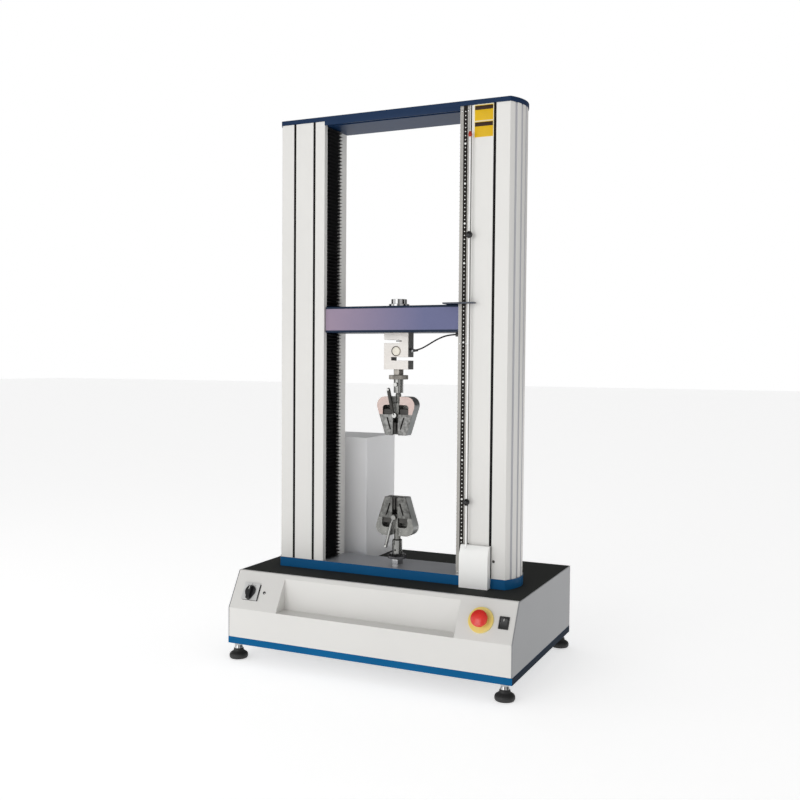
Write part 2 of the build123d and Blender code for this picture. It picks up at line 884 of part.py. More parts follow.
# Rear housing over the motor
with BuildPart() as rear_housing:
    with BuildSketch(Plane.XY.offset(base_top)):
        with Locations(((rear_left + rear_right) / 2, (rear_front + rear_back) / 2)):
            RectangleRounded(rear_right - rear_left, rear_back - rear_front, rear_corner)
    extrude(amount=rear_top - base_top)
    with BuildSketch(Plane.XY.offset(base_top)):
        with Locations(((rear_left + rear_right) / 2, (rear_front + rear_back) / 2)):
            RectangleRounded(
                rear_right - rear_left - 2 * rear_sheet,
                rear_back - rear_front - 2 * rear_sheet,
                rear_corner - rear_sheet,
            )
    extrude(amount=rear_top - base_top - rear_sheet, mode=Mode.SUBTRACT)
    with BuildSketch(Plane.XZ.offset(-rear_back)):
        with Locations(((rear_left + rear_right) / 2, grille_height)):
            with GridLocations(grille_length + grille_pitch, grille_pitch, 2, 8):
                Rectangle(grille_length, vent_width)
    extrude(amount=rear_sheet, mode=Mode.SUBTRACT)
rear_housing.part.label = "rear_housing"
export_step(rear_housing.part, "parts/rear_housing.step")

# Crosshead with an arm and a carriage block in each column
head_middle = (head_bottom + head_top) / 2
with BuildPart() as crosshead_beam:
    with BuildSketch(Plane.YZ):
        with Locations((machine_y + (head_back - head_front) / 2, head_middle)):
            RectangleRounded(head_front + head_back, head_top - head_bottom, head_edge)
    extrude(amount=head_half, both=True)
    with BuildSketch(Plane.XY.offset(head_middle - arm_half_height)):
        with Locations(
            (0, (column_front + front_wall + channel_gap + column_back - rear_flange - channel_gap) / 2)
        ):
            Rectangle(
                2 * carriage_end, column_back - column_front - front_wall - rear_flange - 2 * channel_gap
            )
    extrude(amount=2 * arm_half_height)
    with BuildSketch(Plane.XY.offset(head_middle - carriage_half_height)):
        for sign in (-1, 1):
            with Locations(
                (
                    sign * (carriage_start + carriage_end) / 2,
                    (column_front + front_wall + column_back - rear_wall) / 2,
                )
            ):
                Rectangle(
                    carriage_end - carriage_start,
                    column_back - column_front - front_wall - rear_wall - 2 * channel_gap,
                )
    extrude(amount=2 * carriage_half_height)
    with BuildSketch(Plane.XY.offset(head_middle - carriage_half_height)):
        with Locations(
            (-screw_x, machine_y), (screw_x, machine_y), (-rod_x, machine_y), (rod_x, machine_y)
        ):
            Circle(bearing_hole)
    extrude(amount=2 * carriage_half_height, mode=Mode.SUBTRACT)
crosshead_beam.part.label = "crosshead_beam"
export_step(crosshead_beam.part, "parts/crosshead_beam.step")

# Ball nuts and guide bushes in the carriage blocks
with BuildPart() as crosshead_bearings:
    with BuildSketch(Plane.XY.offset(head_middle - carriage_half_height)):
        with Locations(
            (-screw_x, machine_y), (screw_x, machine_y), (-rod_x, machine_y), (rod_x, machine_y)
        ):
            Circle(bearing_radius)
    extrude(amount=2 * carriage_half_height)
    with BuildSketch(Plane.XY.offset(head_middle + carriage_half_height)):
        with Locations((-screw_x, machine_y), (screw_x, machine_y)):
            Circle(nut_flange_radius)
        with Locations((-rod_x, machine_y), (rod_x, machine_y)):
            Circle(bush_flange_radius)
    extrude(amount=bearing_flange_height)
    with BuildSketch(Plane.XY.offset(head_middle - carriage_half_height)):
        with Locations((-screw_x, machine_y), (screw_x, machine_y)):
            Circle(screw_radius + running_fit)
        with Locations((-rod_x, machine_y), (rod_x, machine_y)):
            Circle(rod_radius + bush_fit)
    extrude(amount=2 * carriage_half_height + bearing_flange_height, mode=Mode.SUBTRACT)
crosshead_bearings.part.label = "crosshead_bearings"
export_step(crosshead_bearings.part, "parts/crosshead_bearings.step")

# Nut and flange on top of the crosshead
with BuildPart() as crosshead_nut:
    with BuildSketch(Plane.XY.offset(head_top)):
        with Locations((0, machine_y)):
            Circle(top_flange_radius)
    extrude(amount=top_flange_height)
    with BuildSketch(Plane.XY.offset(head_top + top_flange_height)):
        with Locations((0, machine_y)):
            Circle(top_nut_radius)
    extrude(amount=top_nut_top - head_top - top_flange_height)
    with BuildSketch(Plane.XY.offset(head_top + top_flange_height)):
        with Locations((0, machine_y)):
            Circle(top_nut_bore)
    extrude(amount=top_nut_top - head_top - top_flange_height, mode=Mode.SUBTRACT)
crosshead_nut.part.label = "crosshead_nut"
export_step(crosshead_nut.part, "parts/crosshead_nut.step")

# Trip finger that meets the limit collars
with BuildPart() as trip_finger:
    with BuildSketch(Plane.XY.offset(head_top)):
        Polygon(
            (finger_left, machine_y - finger_back),
            (finger_left, machine_y - finger_front),
            (finger_right, machine_y - finger_front),
            (finger_right, machine_y - finger_inner),
            (finger_step, machine_y - finger_inner),
            (finger_step, machine_y - finger_back),
            align=None,
        )
        with Locations((limit_x, limit_y)):
            Circle(finger_hole, mode=Mode.SUBTRACT)
    extrude(amount=finger_thickness)
trip_finger.part.label = "trip_finger"
export_step(trip_finger.part, "parts/trip_finger.step")

# Bellows: pleated strips in the openings of both columns, below and above the crosshead
for level, low, high in (
    ("lower", bed_top, head_bottom),
    ("upper", head_top, column_top - beam_thickness),
):
    pleats = round((high - low) / pleat_pitch)
    with BuildPart() as bellows:
        for sign in (-1, 1):
            outer = []
            for k in range(2 * pleats + 1):
                edge = pleat_peak if k % 2 else pleat_valley
                outer.append((sign * edge, low + (high - low) * k / (2 * pleats)))
            inner = [(x + sign * pleat_sheet, z) for x, z in reversed(outer)]
            with BuildSketch(Plane.XZ.offset(-column_front - front_wall - bellows_side_gap)):
                Polygon(*outer, *inner, align=None)
                for end in (low + bellows_end / 2, high - bellows_end / 2):
                    with Locations((sign * (pleat_peak + pleat_valley) / 2, end)):
                        Rectangle(pleat_valley - pleat_peak, bellows_end)
            extrude(
                amount=-(column_back - column_front - front_wall - rear_flange - 2 * bellows_side_gap)
            )
    bellows.part.label = f"bellows_{level}"
    export_step(bellows.part, f"parts/bellows_{level}.step")

# S-shaped load cell with its ring groove
with BuildPart() as load_cell:
    with BuildSketch(Plane.XZ.offset(-machine_y + cell_half_depth)):
        with Locations((0, (cell_bottom + head_bottom) / 2)):
            Rectangle(2 * cell_half, head_bottom - cell_bottom)
        with Locations(((upper_slot_end - cell_half) / 2, upper_slot_z)):
            Rectangle(cell_half + upper_slot_end, cell_slot, mode=Mode.SUBTRACT)
        with Locations(((cell_half - lower_slot_end) / 2, lower_slot_z)):
            Rectangle(cell_half + lower_slot_end, cell_slot, mode=Mode.SUBTRACT)
    extrude(amount=-2 * cell_half_depth)
    with BuildSketch(Plane.XZ.offset(-machine_y + cell_half_depth)):
        with Locations((0, plug_z)):
            Circle(plug_radius)
            Circle(plug_radius - plug_ring, mode=Mode.SUBTRACT)
    extrude(amount=-plug_groove_depth, mode=Mode.SUBTRACT)
load_cell.part.label = "load_cell"
export_step(load_cell.part, "parts/load_cell.step")

# Cable gland on the load cell, and the cable's socket under the crosshead
with BuildPart() as cell_gland:
    with BuildSketch(Plane.YZ.offset(cell_half)):
        with Locations((machine_y, cable_z)):
            Circle(gland_radius)
    extrude(amount=gland_length)
    with BuildSketch(Plane.YZ.offset(socket_x)):
        with Locations((cable_end_y, head_bottom - socket_size / 2)):
            Rectangle(socket_size, socket_size)
    extrude(amount=socket_size)
cell_gland.part.label = "cell_gland"
export_step(cell_gland.part, "parts/cell_gland.step")

cable_start = Vector(cell_half + gland_length, machine_y, cable_z)
cable_span = Vector(socket_x, cable_end_y, head_bottom - cable_end_drop) - cable_start
cable_path = [cable_start]
for share_x, share_y, share_z in cable_shares:
    cable_path.append(cable_start + Vector(share_x * cable_span.X, share_y * cable_span.Y, share_z * cable_span.Z))
cable_path.append(cable_start + cable_span)
cable_radii = []
for before, here, after in zip(cable_path, cable_path[1:], cable_path[2:]):
    run_in = here - before
    run_out = after - here
    half_turn = radians(run_in.get_angle(run_out)) / 2
    cable_radii.append(0.45 * min(run_in.length, run_out.length) / tan(half_turn))
print("cable radii", [round(radius) for radius in cable_radii])
with BuildPart() as cell_cable:
    with BuildLine() as cable_line:
        FilletPolyline(*cable_path, radius=cable_radii)
    with BuildSketch(Plane(origin=cable_line.line @ 0, z_dir=cable_line.line % 0)):
        Circle(cable_radius)
    sweep()
cell_cable.part.label = "cell_cable"
export_step(cell_cable.part, "parts/cell_cable.step")
cable_length = sum(piece.length for piece in cable_line.edges())
volume_share = cell_cable.part.volume / (pi * cable_radius**2 * cable_length)
print("cable length", round(cable_length), "volume against section and length", round(volume_share, 3))

# Upper load string: hex nut, lock ring, coupling with its stud, cross pin
with BuildPart() as upper_hex_nut:
    with BuildSketch(Plane.XY.offset(hex_low)):
        with Locations((0, machine_y)):
            RegularPolygon(hex_radius, 6)
            Circle(string_stud_radius + loose_fit, mode=Mode.SUBTRACT)
    extrude(amount=cell_bottom - hex_low)
upper_hex_nut.part.label = "upper_hex_nut"
export_step(upper_hex_nut.part, "parts/upper_hex_nut.step")

with BuildPart() as upper_lock_ring:
    with BuildSketch(Plane.XY.offset(ring_low + end_float)):
        with Locations((0, machine_y)):
            Circle(ring_radius)
    extrude(amount=hex_low - ring_low - 2 * end_float)
    chamfer(upper_lock_ring.edges().filter_by(GeomType.CIRCLE), ring_chamfer / 2)
    with BuildSketch(Plane.XY.offset(ring_low)):
        with Locations((0, machine_y)):
            Circle(string_stud_radius + ring_fit)
    extrude(amount=hex_low - ring_low, mode=Mode.SUBTRACT)
upper_lock_ring.part.label = "upper_lock_ring"
export_step(upper_lock_ring.part, "parts/upper_lock_ring.step")

with BuildPart() as upper_coupling:
    with BuildSketch(Plane.XY.offset(coupling_low)):
        with Locations((0, machine_y)):
            Circle(coupling_radius)
    extrude(amount=ring_low - coupling_low)
    with BuildSketch(Plane.XY.offset(ring_low)):
        with Locations((0, machine_y)):
            Circle(string_stud_radius)
    extrude(amount=cell_bottom - ring_low)
    with BuildSketch(Plane.XY.offset(coupling_low)):
        with Locations((0, machine_y)):
            Circle(coupling_bore)
    extrude(amount=coupling_bore_top - coupling_low, mode=Mode.SUBTRACT)
    with BuildSketch(Plane.XZ.offset(-machine_y)):
        with Locations((0, pin_z)):
            Circle(pin_radius + ring_fit)
    extrude(amount=coupling_radius, both=True, mode=Mode.SUBTRACT)
upper_coupling.part.label = "upper_coupling"
export_step(upper_coupling.part, "parts/upper_coupling.step")

with BuildPart() as upper_pin:
    with BuildSketch(Plane.XZ.offset(-machine_y + pin_reach)):
        with Locations((0, pin_z)):
            Circle(pin_radius)
    extrude(amount=-pin_reach - pin_back)
    with BuildSketch(Plane.XZ.offset(-machine_y + pin_reach)):
        with Locations((0, pin_z)):
            Circle(pin_head_radius)
    extrude(amount=-pin_head_length)
upper_pin.part.label = "upper_pin"
export_step(upper_pin.part, "parts/upper_pin.step")

# Lower load string: hex nut on the bed, lock ring, spindle
with BuildPart() as lower_hex_nut:
    with BuildSketch(Plane.XY.offset(bed_top)):
        with Locations((0, machine_y)):
            RegularPolygon(lower_hex_radius, 6)
            Circle(string_stud_radius + loose_fit, mode=Mode.SUBTRACT)
    extrude(amount=lower_hex_top - bed_top)
lower_hex_nut.part.label = "lower_hex_nut"
export_step(lower_hex_nut.part, "parts/lower_hex_nut.step")

with BuildPart() as lower_lock_ring:
    with BuildSketch(Plane.XY.offset(lower_ring_low)):
        with Locations((0, machine_y)):
            Circle(lower_ring_radius)
    extrude(amount=lower_ring_top - end_float - lower_ring_low)
    chamfer(lower_lock_ring.edges().filter_by(GeomType.CIRCLE).sort_by(Axis.Z)[-1], lower_ring_chamfer)
    with BuildSketch(Plane.XY.offset(lower_ring_low)):
        with Locations((0, machine_y)):
            Circle(string_stud_radius + ring_fit)
    extrude(amount=lower_ring_top - lower_ring_low, mode=Mode.SUBTRACT)
lower_lock_ring.part.label = "lower_lock_ring"
export_step(lower_lock_ring.part, "parts/lower_lock_ring.step")

with BuildPart() as lower_spindle:
    with BuildSketch(Plane.XY.offset(lower_ring_top)):
        with Locations((0, machine_y)):
            Circle(spindle_radius)
    extrude(amount=spindle_top - lower_ring_top)
    chamfer(lower_spindle.edges().filter_by(GeomType.CIRCLE).sort_by(Axis.Z)[-1], spindle_chamfer)
    with BuildSketch(Plane.XY.offset(bed_top)):
        with Locations((0, machine_y)):
            Circle(string_stud_radius)
    extrude(amount=lower_ring_top - bed_top)
    with BuildSketch(Plane.XZ.offset(-machine_y)):
        with Locations((0, spindle_hole_z)):
            Circle(spindle_hole_radius)
    extrude(amount=spindle_radius, mode=Mode.SUBTRACT)
lower_spindle.part.label = "lower_spindle"
export_step(lower_spindle.part, "parts/lower_spindle.step")

# Wedge grips, the lower one is the upper one turned over
wedge = (cavity_top_half - cavity_mouth_half) / cavity_height
for level, mouth, up in (("upper", upper_mouth, 1), ("lower", lower_mouth, -1)):
    grip_front = Plane.XZ.offset(-machine_y + grip_half_depth)
    grip_plate_back = Plane.XZ.offset(-machine_y + grip_half_depth - grip_wall)
    with BuildPart() as grip_body:
        with BuildSketch(grip_front):
            for sign in (-1, 1):
                with BuildLine():
                    Polyline(
                        (sign * grip_top_half, mouth + up * grip_height),
                        (0, mouth + up * grip_height),
                        (0, mouth),
                        (sign * grip_mouth_half, mouth),
                        (sign * grip_side_half, mouth + up * grip_side_height),
                    )
                    ThreePointArc(
                        (sign * grip_side_half, mouth + up * grip_side_height),
                        (sign * grip_round_half, mouth + up * grip_round_height),
                        (sign * grip_top_half, mouth + up * grip_height),
                    )
                make_face()
            with Locations((0, mouth + up * (grip_slot_from + grip_height) / 2)):
                Rectangle(2 * grip_slot_half, grip_height - grip_slot_from, mode=Mode.SUBTRACT)
        extrude(amount=-2 * grip_half_depth)
        with BuildSketch(grip_plate_back):
            Polygon(
                (-cavity_mouth_half, mouth),
                (cavity_mouth_half, mouth),
                (cavity_top_half, mouth + up * cavity_height),
                (-cavity_top_half, mouth + up * cavity_height),
                align=None,
            )
        extrude(amount=-2 * (grip_half_depth - grip_wall), mode=Mode.SUBTRACT)
        with BuildSketch(grip_front):
            with Locations((0, mouth + up * plate_height / 2)):
                Rectangle(2 * grip_side_half, plate_height)
            with Locations((0, mouth + up * (plate_height + grip_height) / 2)):
                Rectangle(2 * grip_slot_half, grip_height - plate_height)
            for sign in (-1, 1):
                with BuildLine():
                    Polyline(
                        (sign * (window_half - window_round), mouth + up * cavity_height),
                        (0, mouth + up * cavity_height),
                        (0, mouth + up * plate_height),
                        (sign * window_half, mouth + up * plate_height),
                        (sign * window_half, mouth + up * (cavity_height - window_round)),
                    )
                    RadiusArc(
                        (sign * window_half, mouth + up * (cavity_height - window_round)),
                        (sign * (window_half - window_round), mouth + up * cavity_height),
                        -sign * up * window_round,
                    )
                make_face()
        extrude(amount=-grip_wall, mode=Mode.SUBTRACT)
        with BuildSketch(Plane.XZ.offset(-machine_y + foot_front)):
            with Locations((0, mouth + up * (foot_from + grip_slot_from) / 2)):
                Rectangle(2 * foot_half, grip_slot_from - foot_from)
        extrude(amount=-foot_front - grip_half_depth + grip_wall)
        if up > 0:
            with BuildSketch(Plane.XY.offset(mouth + grip_slot_from)):
                with Locations((0, machine_y)):
                    Circle(grip_neck_radius)
            extrude(amount=tenon_top - mouth - grip_slot_from)
            with Locations((0, machine_y, ball_z)):
                Sphere(ball_radius)
            with BuildSketch(Plane.XZ.offset(-machine_y)):
                with Locations((0, pin_z)):
                    Circle(pin_radius + loose_fit)
            extrude(amount=tenon_radius, both=True, mode=Mode.SUBTRACT)
        else:
            with BuildSketch(Plane.XY.offset(spindle_top)):
                with Locations((0, machine_y)):
                    Circle(lower_neck_radius)
            extrude(amount=mouth - grip_slot_from - spindle_top)
    grip_body.part.label = f"{level}_grip_body"
    export_step(grip_body.part, f"parts/{level}_grip_body.step")

    plate_outer = grip_mouth_half + (grip_side_half - grip_mouth_half) * plate_height / grip_side_height
    with BuildPart() as grip_plates:
        with BuildSketch(grip_front):
            for sign in (-1, 1):
                Polygon(
                    (sign * plate_inner, mouth),
                    (sign * grip_mouth_half, mouth),
                    (sign * plate_outer, mouth + up * plate_height),
                    (sign * plate_inner, mouth + up * plate_height),
                    align=None,
                )
                with Locations((sign * guide_x, mouth + up * guide_height)):
                    SlotOverall(
                        guide_length,
                        guide_width,
                        rotation=degrees(atan2(up, sign * wedge)),
                        mode=Mode.SUBTRACT,
                    )
        extrude(amount=-grip_wall)
    grip_plates.part.label = f"{level}_grip_plates"
    export_step(grip_plates.part, f"parts/{level}_grip_plates.step")

    for side, sign in (("left", -1), ("right", 1)):
        with BuildPart() as jaw:
            with BuildSketch(Plane.XZ.offset(-machine_y + grip_half_depth - grip_wall - jaw_gap)):
                Polygon(
                    (sign * jaw_face, mouth + up * jaw_low),
                    (sign * (cavity_mouth_half - jaw_gap + wedge * jaw_low), mouth + up * jaw_low),
                    (sign * (cavity_mouth_half - jaw_gap + wedge * jaw_height), mouth + up * jaw_height),
                    (sign * jaw_step, mouth + up * jaw_height),
                    (sign * jaw_step, mouth + up * jaw_step_height),
                    (sign * jaw_face, mouth + up * jaw_step_height),
                    align=None,
                )
            extrude(amount=-2 * (grip_half_depth - grip_wall - jaw_gap))
            with BuildSketch(Plane.XZ.offset(-machine_y + grip_half_depth - jaw_gap)):
                with Locations((sign * guide_x, mouth + up * guide_height)):
                    Circle(guide_pin_radius)
            extrude(amount=-grip_wall)
        jaw.part.label = f"{level}_jaw_{side}"
        export_step(jaw.part, f"parts/{level}_jaw_{side}.step")

    lever_radius = upper_lever_radius if up > 0 else lower_lever_radius
    tip_radius = upper_lever_radius if up > 0 else lower_tip_radius
    hub = Vector(0, machine_y - lever_y, mouth + up * lever_height)
    bend = Vector(-lever_bend_x, machine_y - lever_bend_y, mouth + up * lever_bend_height)
    tip_x, tip_height = (lever_tip_x, lever_tip_height) if up > 0 else (lower_tip_x, lower_tip_height)
    tip = Vector(-tip_x, machine_y - lever_tip_y, mouth + up * tip_height)
    with BuildPart() as lever:
        with BuildSketch(Plane.XZ.offset(-hub.Y)):
            with Locations((hub.X, hub.Z)):
                Circle(hub_radius)
        extrude(amount=hub_half_length, both=True)
        with BuildSketch(Plane.XZ.offset(-hub.Y)):
            with Locations((hub.X, hub.Z)):
                Circle(hub_pin_radius)
        extrude(amount=-lever_y + foot_front + end_float)
        with BuildSketch(Plane(origin=hub, z_dir=bend - hub)):
            Circle(lever_radius * 0.8)
        extrude(amount=(bend - hub).length)
        with BuildSketch(Plane(origin=bend, z_dir=tip - bend)):
            Circle(lever_radius)
        extrude(amount=(tip - bend).length)
        with Locations(bend):
            Sphere(lever_radius)
        with Locations(tip):
            Sphere(tip_radius)
    lever.part.label = f"{level}_lever"
    export_step(lever.part, f"parts/{level}_lever.step")

# Ruler strip on the right column
with BuildPart() as ruler_strip:
    with BuildSketch(Plane.XY.offset(ruler_bottom)):
        with Locations(((ruler_left + ruler_right) / 2, column_front - ruler_thickness / 2)):
            Rectangle(ruler_right - ruler_left, ruler_thickness)
    extrude(amount=ruler_top - ruler_bottom)
ruler_strip.part.label = "ruler_strip"
export_step(ruler_strip.part, "parts/ruler_strip.step")

# Switch housing at the foot of the right column, open below and behind
with BuildPart() as switch_housing:
    with BuildSketch(Plane.YZ.offset(box_left)):
        Polygon(
            (box_front, base_top),
            (bed_front, base_top),
            (bed_front, box_top),
            (box_front + box_slope, box_top),
            (box_front, box_kink),
            align=None,
        )
    extrude(amount=box_right - box_left)
    with BuildSketch(Plane.YZ.offset(box_left + box_sheet)):
        Polygon(
            (box_front + box_sheet, box_shelf + box_shelf_thickness),
            (bed_front, box_shelf + box_shelf_thickness),
            (bed_front, box_shelf + box_room),
            (box_front + box_slope + box_sheet, box_shelf + box_room),
            (box_front + box_sheet, box_kink - box_sheet),
            align=None,
        )
        with Locations(((box_front + box_sheet + bed_front) / 2, (base_top + box_shelf) / 2)):
            Rectangle(bed_front - box_front - box_sheet, box_shelf - base_top)
    extrude(amount=box_right - box_left - 2 * box_sheet, mode=Mode.SUBTRACT)
    with BuildSketch(Plane.XY.offset(base_top)):
        with Locations((limit_x, limit_y)):
            Circle(limit_radius + ring_fit)
    extrude(amount=box_top - base_top, mode=Mode.SUBTRACT)
switch_housing.part.label = "switch_housing"
export_step(switch_housing.part, "parts/switch_housing.step")

# Limit rod, its cap and the two stop collars with thumb screws
with BuildPart() as limit_rod:
    with BuildSketch(Plane.XY.offset(limit_bottom)):
        with Locations((limit_x, limit_y)):
            Circle(limit_radius)
    extrude(amount=limit_top - limit_bottom)
limit_rod.part.label = "limit_rod"
export_step(limit_rod.part, "parts/limit_rod.step")

with BuildPart() as rod_cap:
    with BuildSketch(Plane.XY.offset(cap_low)):
        with Locations((limit_x, limit_y)):
            Circle(cap_radius)
    with BuildSketch(Plane.XY.offset(cap_high)):
        with Locations((limit_x, limit_y)):
            Circle(cap_point)
    loft()
    with BuildSketch(Plane.XY.offset(cap_low)):
        with Locations((limit_x, limit_y)):
            Circle(limit_radius)
    extrude(amount=limit_top - cap_low, mode=Mode.SUBTRACT)
rod_cap.part.label = "rod_cap"
export_step(rod_cap.part, "parts/rod_cap.step")

upper_collar_z = finger_top + upper_collar_share * (cap_low - finger_top)
lower_collar_z = box_top + lower_collar_share * (head_bottom - box_top)
for level, height in (("upper", upper_collar_z), ("lower", lower_collar_z)):
    knob_way = Vector(-1, -1, 0).normalized()
    with BuildPart() as collar:
        with BuildSketch(Plane.XY.offset(height - collar_half)):
            with Locations((limit_x, limit_y)):
                Circle(collar_radius)
        extrude(amount=2 * collar_half)
        with BuildSketch(Plane(origin=(limit_x, limit_y, height), z_dir=knob_way)):
            Circle(knob_stem)
        extrude(amount=knob_reach)
        with BuildSketch(
            Plane(origin=Vector(limit_x, limit_y, height) + knob_way * (knob_reach - knob_length), z_dir=knob_way)
        ):
            Circle(knob_radius)
        extrude(amount=knob_length)
        with BuildSketch(Plane.XY.offset(height - collar_half)):
            with Locations((limit_x, limit_y)):
                Circle(limit_radius + running_fit)
        extrude(amount=2 * collar_half, mode=Mode.SUBTRACT)
    collar.part.label = f"collar_{level}"
    export_step(collar.part, f"parts/collar_{level}.step")

# Rotary switch on the slope
with BuildPart() as rotary_plate:
    with BuildSketch(slope_plane):
        with Locations((rotary_x, 0)):
            Rectangle(rotary_width, rotary_tall)
            Circle(rotary_shaft + ring_fit, mode=Mode.SUBTRACT)
    extrude(amount=rotary_plate_thickness)
rotary_plate.part.label = "rotary_plate"
export_step(rotary_plate.part, "parts/rotary_plate.step")

with BuildPart() as rotary_knob:
    with BuildSketch(slope_plane.offset(rotary_plate_thickness + end_float)):
        with Locations((rotary_x, 0)):
            Circle(rotary_disc)
        with Locations((rotary_x, -rotary_tail)):
            Circle(rotary_tail_radius)
        make_hull()
    extrude(amount=rotary_disc_height)
    with BuildSketch(slope_plane.offset(rotary_plate_thickness + end_float)):
        with Locations((rotary_x, -rotary_bar_drop)):
            RectangleRounded(rotary_bar_width, rotary_bar_length, rotary_bar_width / 3)
    extrude(amount=rotary_bar_height)
    with BuildSketch(slope_plane.offset(-stem_depth)):
        with Locations((rotary_x, 0)):
            Circle(rotary_shaft)
    extrude(amount=stem_depth + rotary_disc_height)
rotary_knob.part.label = "rotary_knob"
export_step(rotary_knob.part, "parts/rotary_knob.step")

# Emergency stop: yellow disc with its collar, red mushroom button
with BuildPart() as estop_disc:
    with BuildSketch(slope_plane):
        with Locations((stop_x, 0)):
            Circle(stop_disc)
    extrude(amount=stop_disc_height)
    with BuildSketch(slope_plane):
        with Locations((stop_x, 0)):
            Circle(stop_collar)
    extrude(amount=stop_collar_height)
    with BuildSketch(slope_plane):
        with Locations((stop_x, 0)):
            Circle(stop_stem + ring_fit)
    extrude(amount=stop_collar_height, mode=Mode.SUBTRACT)
estop_disc.part.label = "estop_disc"
export_step(estop_disc.part, "parts/estop_disc.step")

stop_rise = stop_head_top - stop_head_edge
stop_dome = (stop_head_radius**2 + stop_rise**2) / (2 * stop_rise)
stop_profile = Plane(
    origin=(stop_x, slope_y(controls_z), controls_z), x_dir=(1, 0, 0), z_dir=(0, -slope_run, -slope_rise)
)
with BuildPart() as estop_button:
    with BuildSketch(stop_profile):
        with BuildLine():
            Polyline(
                (0, stop_head_top),
                (0, -stem_depth),
                (stop_stem, -stem_depth),
                (stop_stem, stop_head_low),
                (stop_head_radius, stop_head_low),
                (stop_head_radius, stop_head_edge),
            )
            ThreePointArc(
                (stop_head_radius, stop_head_edge),
                (stop_crown, stop_head_top - stop_dome + (stop_dome**2 - stop_crown**2) ** 0.5),
                (0, stop_head_top),
            )
        make_face()
    revolve(axis=Axis((stop_x, slope_y(controls_z), controls_z), (0, -slope_rise, slope_run)))
estop_button.part.label = "estop_button"
export_step(estop_button.part, "parts/estop_button.step")

# Rocker switch in its frame
with BuildPart() as rocker_frame:
    with BuildSketch(slope_plane):
        with Locations((rocker_x, 0)):
            Rectangle(rocker_width, rocker_tall)
            Rectangle(rocker_width - 2 * rocker_rim, rocker_tall - 2 * rocker_rim, mode=Mode.SUBTRACT)
    extrude(amount=rocker_frame_height)
rocker_frame.part.label = "rocker_frame"
export_step(rocker_frame.part, "parts/rocker_frame.step")

rocker_radius = rocker_tall / 2 - rocker_rim - rocker_gap
rocker_side = Plane(
    origin=(rocker_x, slope_y(controls_z), controls_z), x_dir=(0, slope_run, slope_rise), z_dir=(1, 0, 0)
)


def rocked(along, out):
    turn = radians(rocker_tilt)
    return along * cos(turn) - out * sin(turn), along * sin(turn) + out * cos(turn) - rocker_drop


with BuildPart() as rocker:
    with BuildSketch(rocker_side):
        with Locations((0, -rocker_drop)):
            Circle(rocker_radius)
        Polygon(
            rocked(-rocker_tall, rocker_end + rocker_end),
            rocked(0, rocker_valley),
            rocked(rocker_tall, rocker_end + rocker_end),
            rocked(rocker_tall, rocker_tall),
            rocked(-rocker_tall, rocker_tall),
            align=None,
            mode=Mode.SUBTRACT,
        )
    extrude(amount=rocker_width / 2 - rocker_rim - rocker_gap, both=True)
rocker.part.label = "rocker"
export_step(rocker.part, "parts/rocker.step")
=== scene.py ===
from math import atan2, cos, pi, radians, sin

import bmesh
import bpy
from bpy.props import FloatProperty, FloatVectorProperty, IntProperty, PointerProperty
from mathutils import Matrix, Vector


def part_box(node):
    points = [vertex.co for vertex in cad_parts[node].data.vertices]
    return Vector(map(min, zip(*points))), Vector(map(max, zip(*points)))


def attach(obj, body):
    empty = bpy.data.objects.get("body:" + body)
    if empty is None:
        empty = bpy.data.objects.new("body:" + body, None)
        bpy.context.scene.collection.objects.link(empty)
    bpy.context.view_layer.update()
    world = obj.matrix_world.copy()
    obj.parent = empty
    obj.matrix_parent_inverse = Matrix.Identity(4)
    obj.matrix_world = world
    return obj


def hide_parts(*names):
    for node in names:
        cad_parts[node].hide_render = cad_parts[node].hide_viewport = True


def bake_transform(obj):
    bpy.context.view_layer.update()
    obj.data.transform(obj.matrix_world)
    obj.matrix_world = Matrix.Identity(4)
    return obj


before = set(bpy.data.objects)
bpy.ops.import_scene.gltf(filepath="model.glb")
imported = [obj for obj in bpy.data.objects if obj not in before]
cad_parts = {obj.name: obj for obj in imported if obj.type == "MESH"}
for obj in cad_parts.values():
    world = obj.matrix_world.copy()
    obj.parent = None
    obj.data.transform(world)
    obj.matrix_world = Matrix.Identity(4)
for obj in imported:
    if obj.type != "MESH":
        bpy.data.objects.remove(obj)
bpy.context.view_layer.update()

bl_info = {
    "name": "Universal testing machine dressing",
    "version": (1, 0, 0),
    "blender": (4, 5, 0),
    "location": "3D View > Sidebar > Test Machine",
    "description": "Finishes, small parts and stage for a two-column universal testing machine",
    "category": "Object",
}

# The body that stands still
STAND = "machine_frame"

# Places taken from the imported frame, in metres
COLUMN_LOW, COLUMN_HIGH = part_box("column_right")
COLUMN_FRONT = COLUMN_LOW.y
TOP_LOW, TOP_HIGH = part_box("top_plate")
MACHINE_Y = (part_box("bed_plate")[0].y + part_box("bed_plate")[1].y) / 2
HEAD_LOW, HEAD_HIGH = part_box("load_cell")[1].z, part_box("trip_finger")[0].z
BEAM_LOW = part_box("cross_beam")[0].z

# The sloped upper half of the front panel, in metres
PANEL_FRONT = -0.258
SLOPE_FOOT, SLOPE_RISE, SLOPE_DEPTH = 0.138, 0.092, 0.052
CONTROLS_Z = 0.182
SLOPE_TURN = atan2(SLOPE_DEPTH, SLOPE_RISE)
SLOPE_OUT = Vector((0, -cos(SLOPE_TURN), sin(SLOPE_TURN)))
SLOPE_UP = Vector((0, sin(SLOPE_TURN), cos(SLOPE_TURN)))
SLOPE_MIDDLE = Vector((0, PANEL_FRONT + SLOPE_DEPTH * (CONTROLS_Z - SLOPE_FOOT) / SLOPE_RISE, CONTROLS_Z))
SLOPE_AXES = Matrix((Vector((1, 0, 0)), SLOPE_UP, SLOPE_OUT)).transposed().to_4x4()
SLOPE_MATRIX = Matrix.Translation(SLOPE_MIDDLE) @ SLOPE_AXES


# Settings


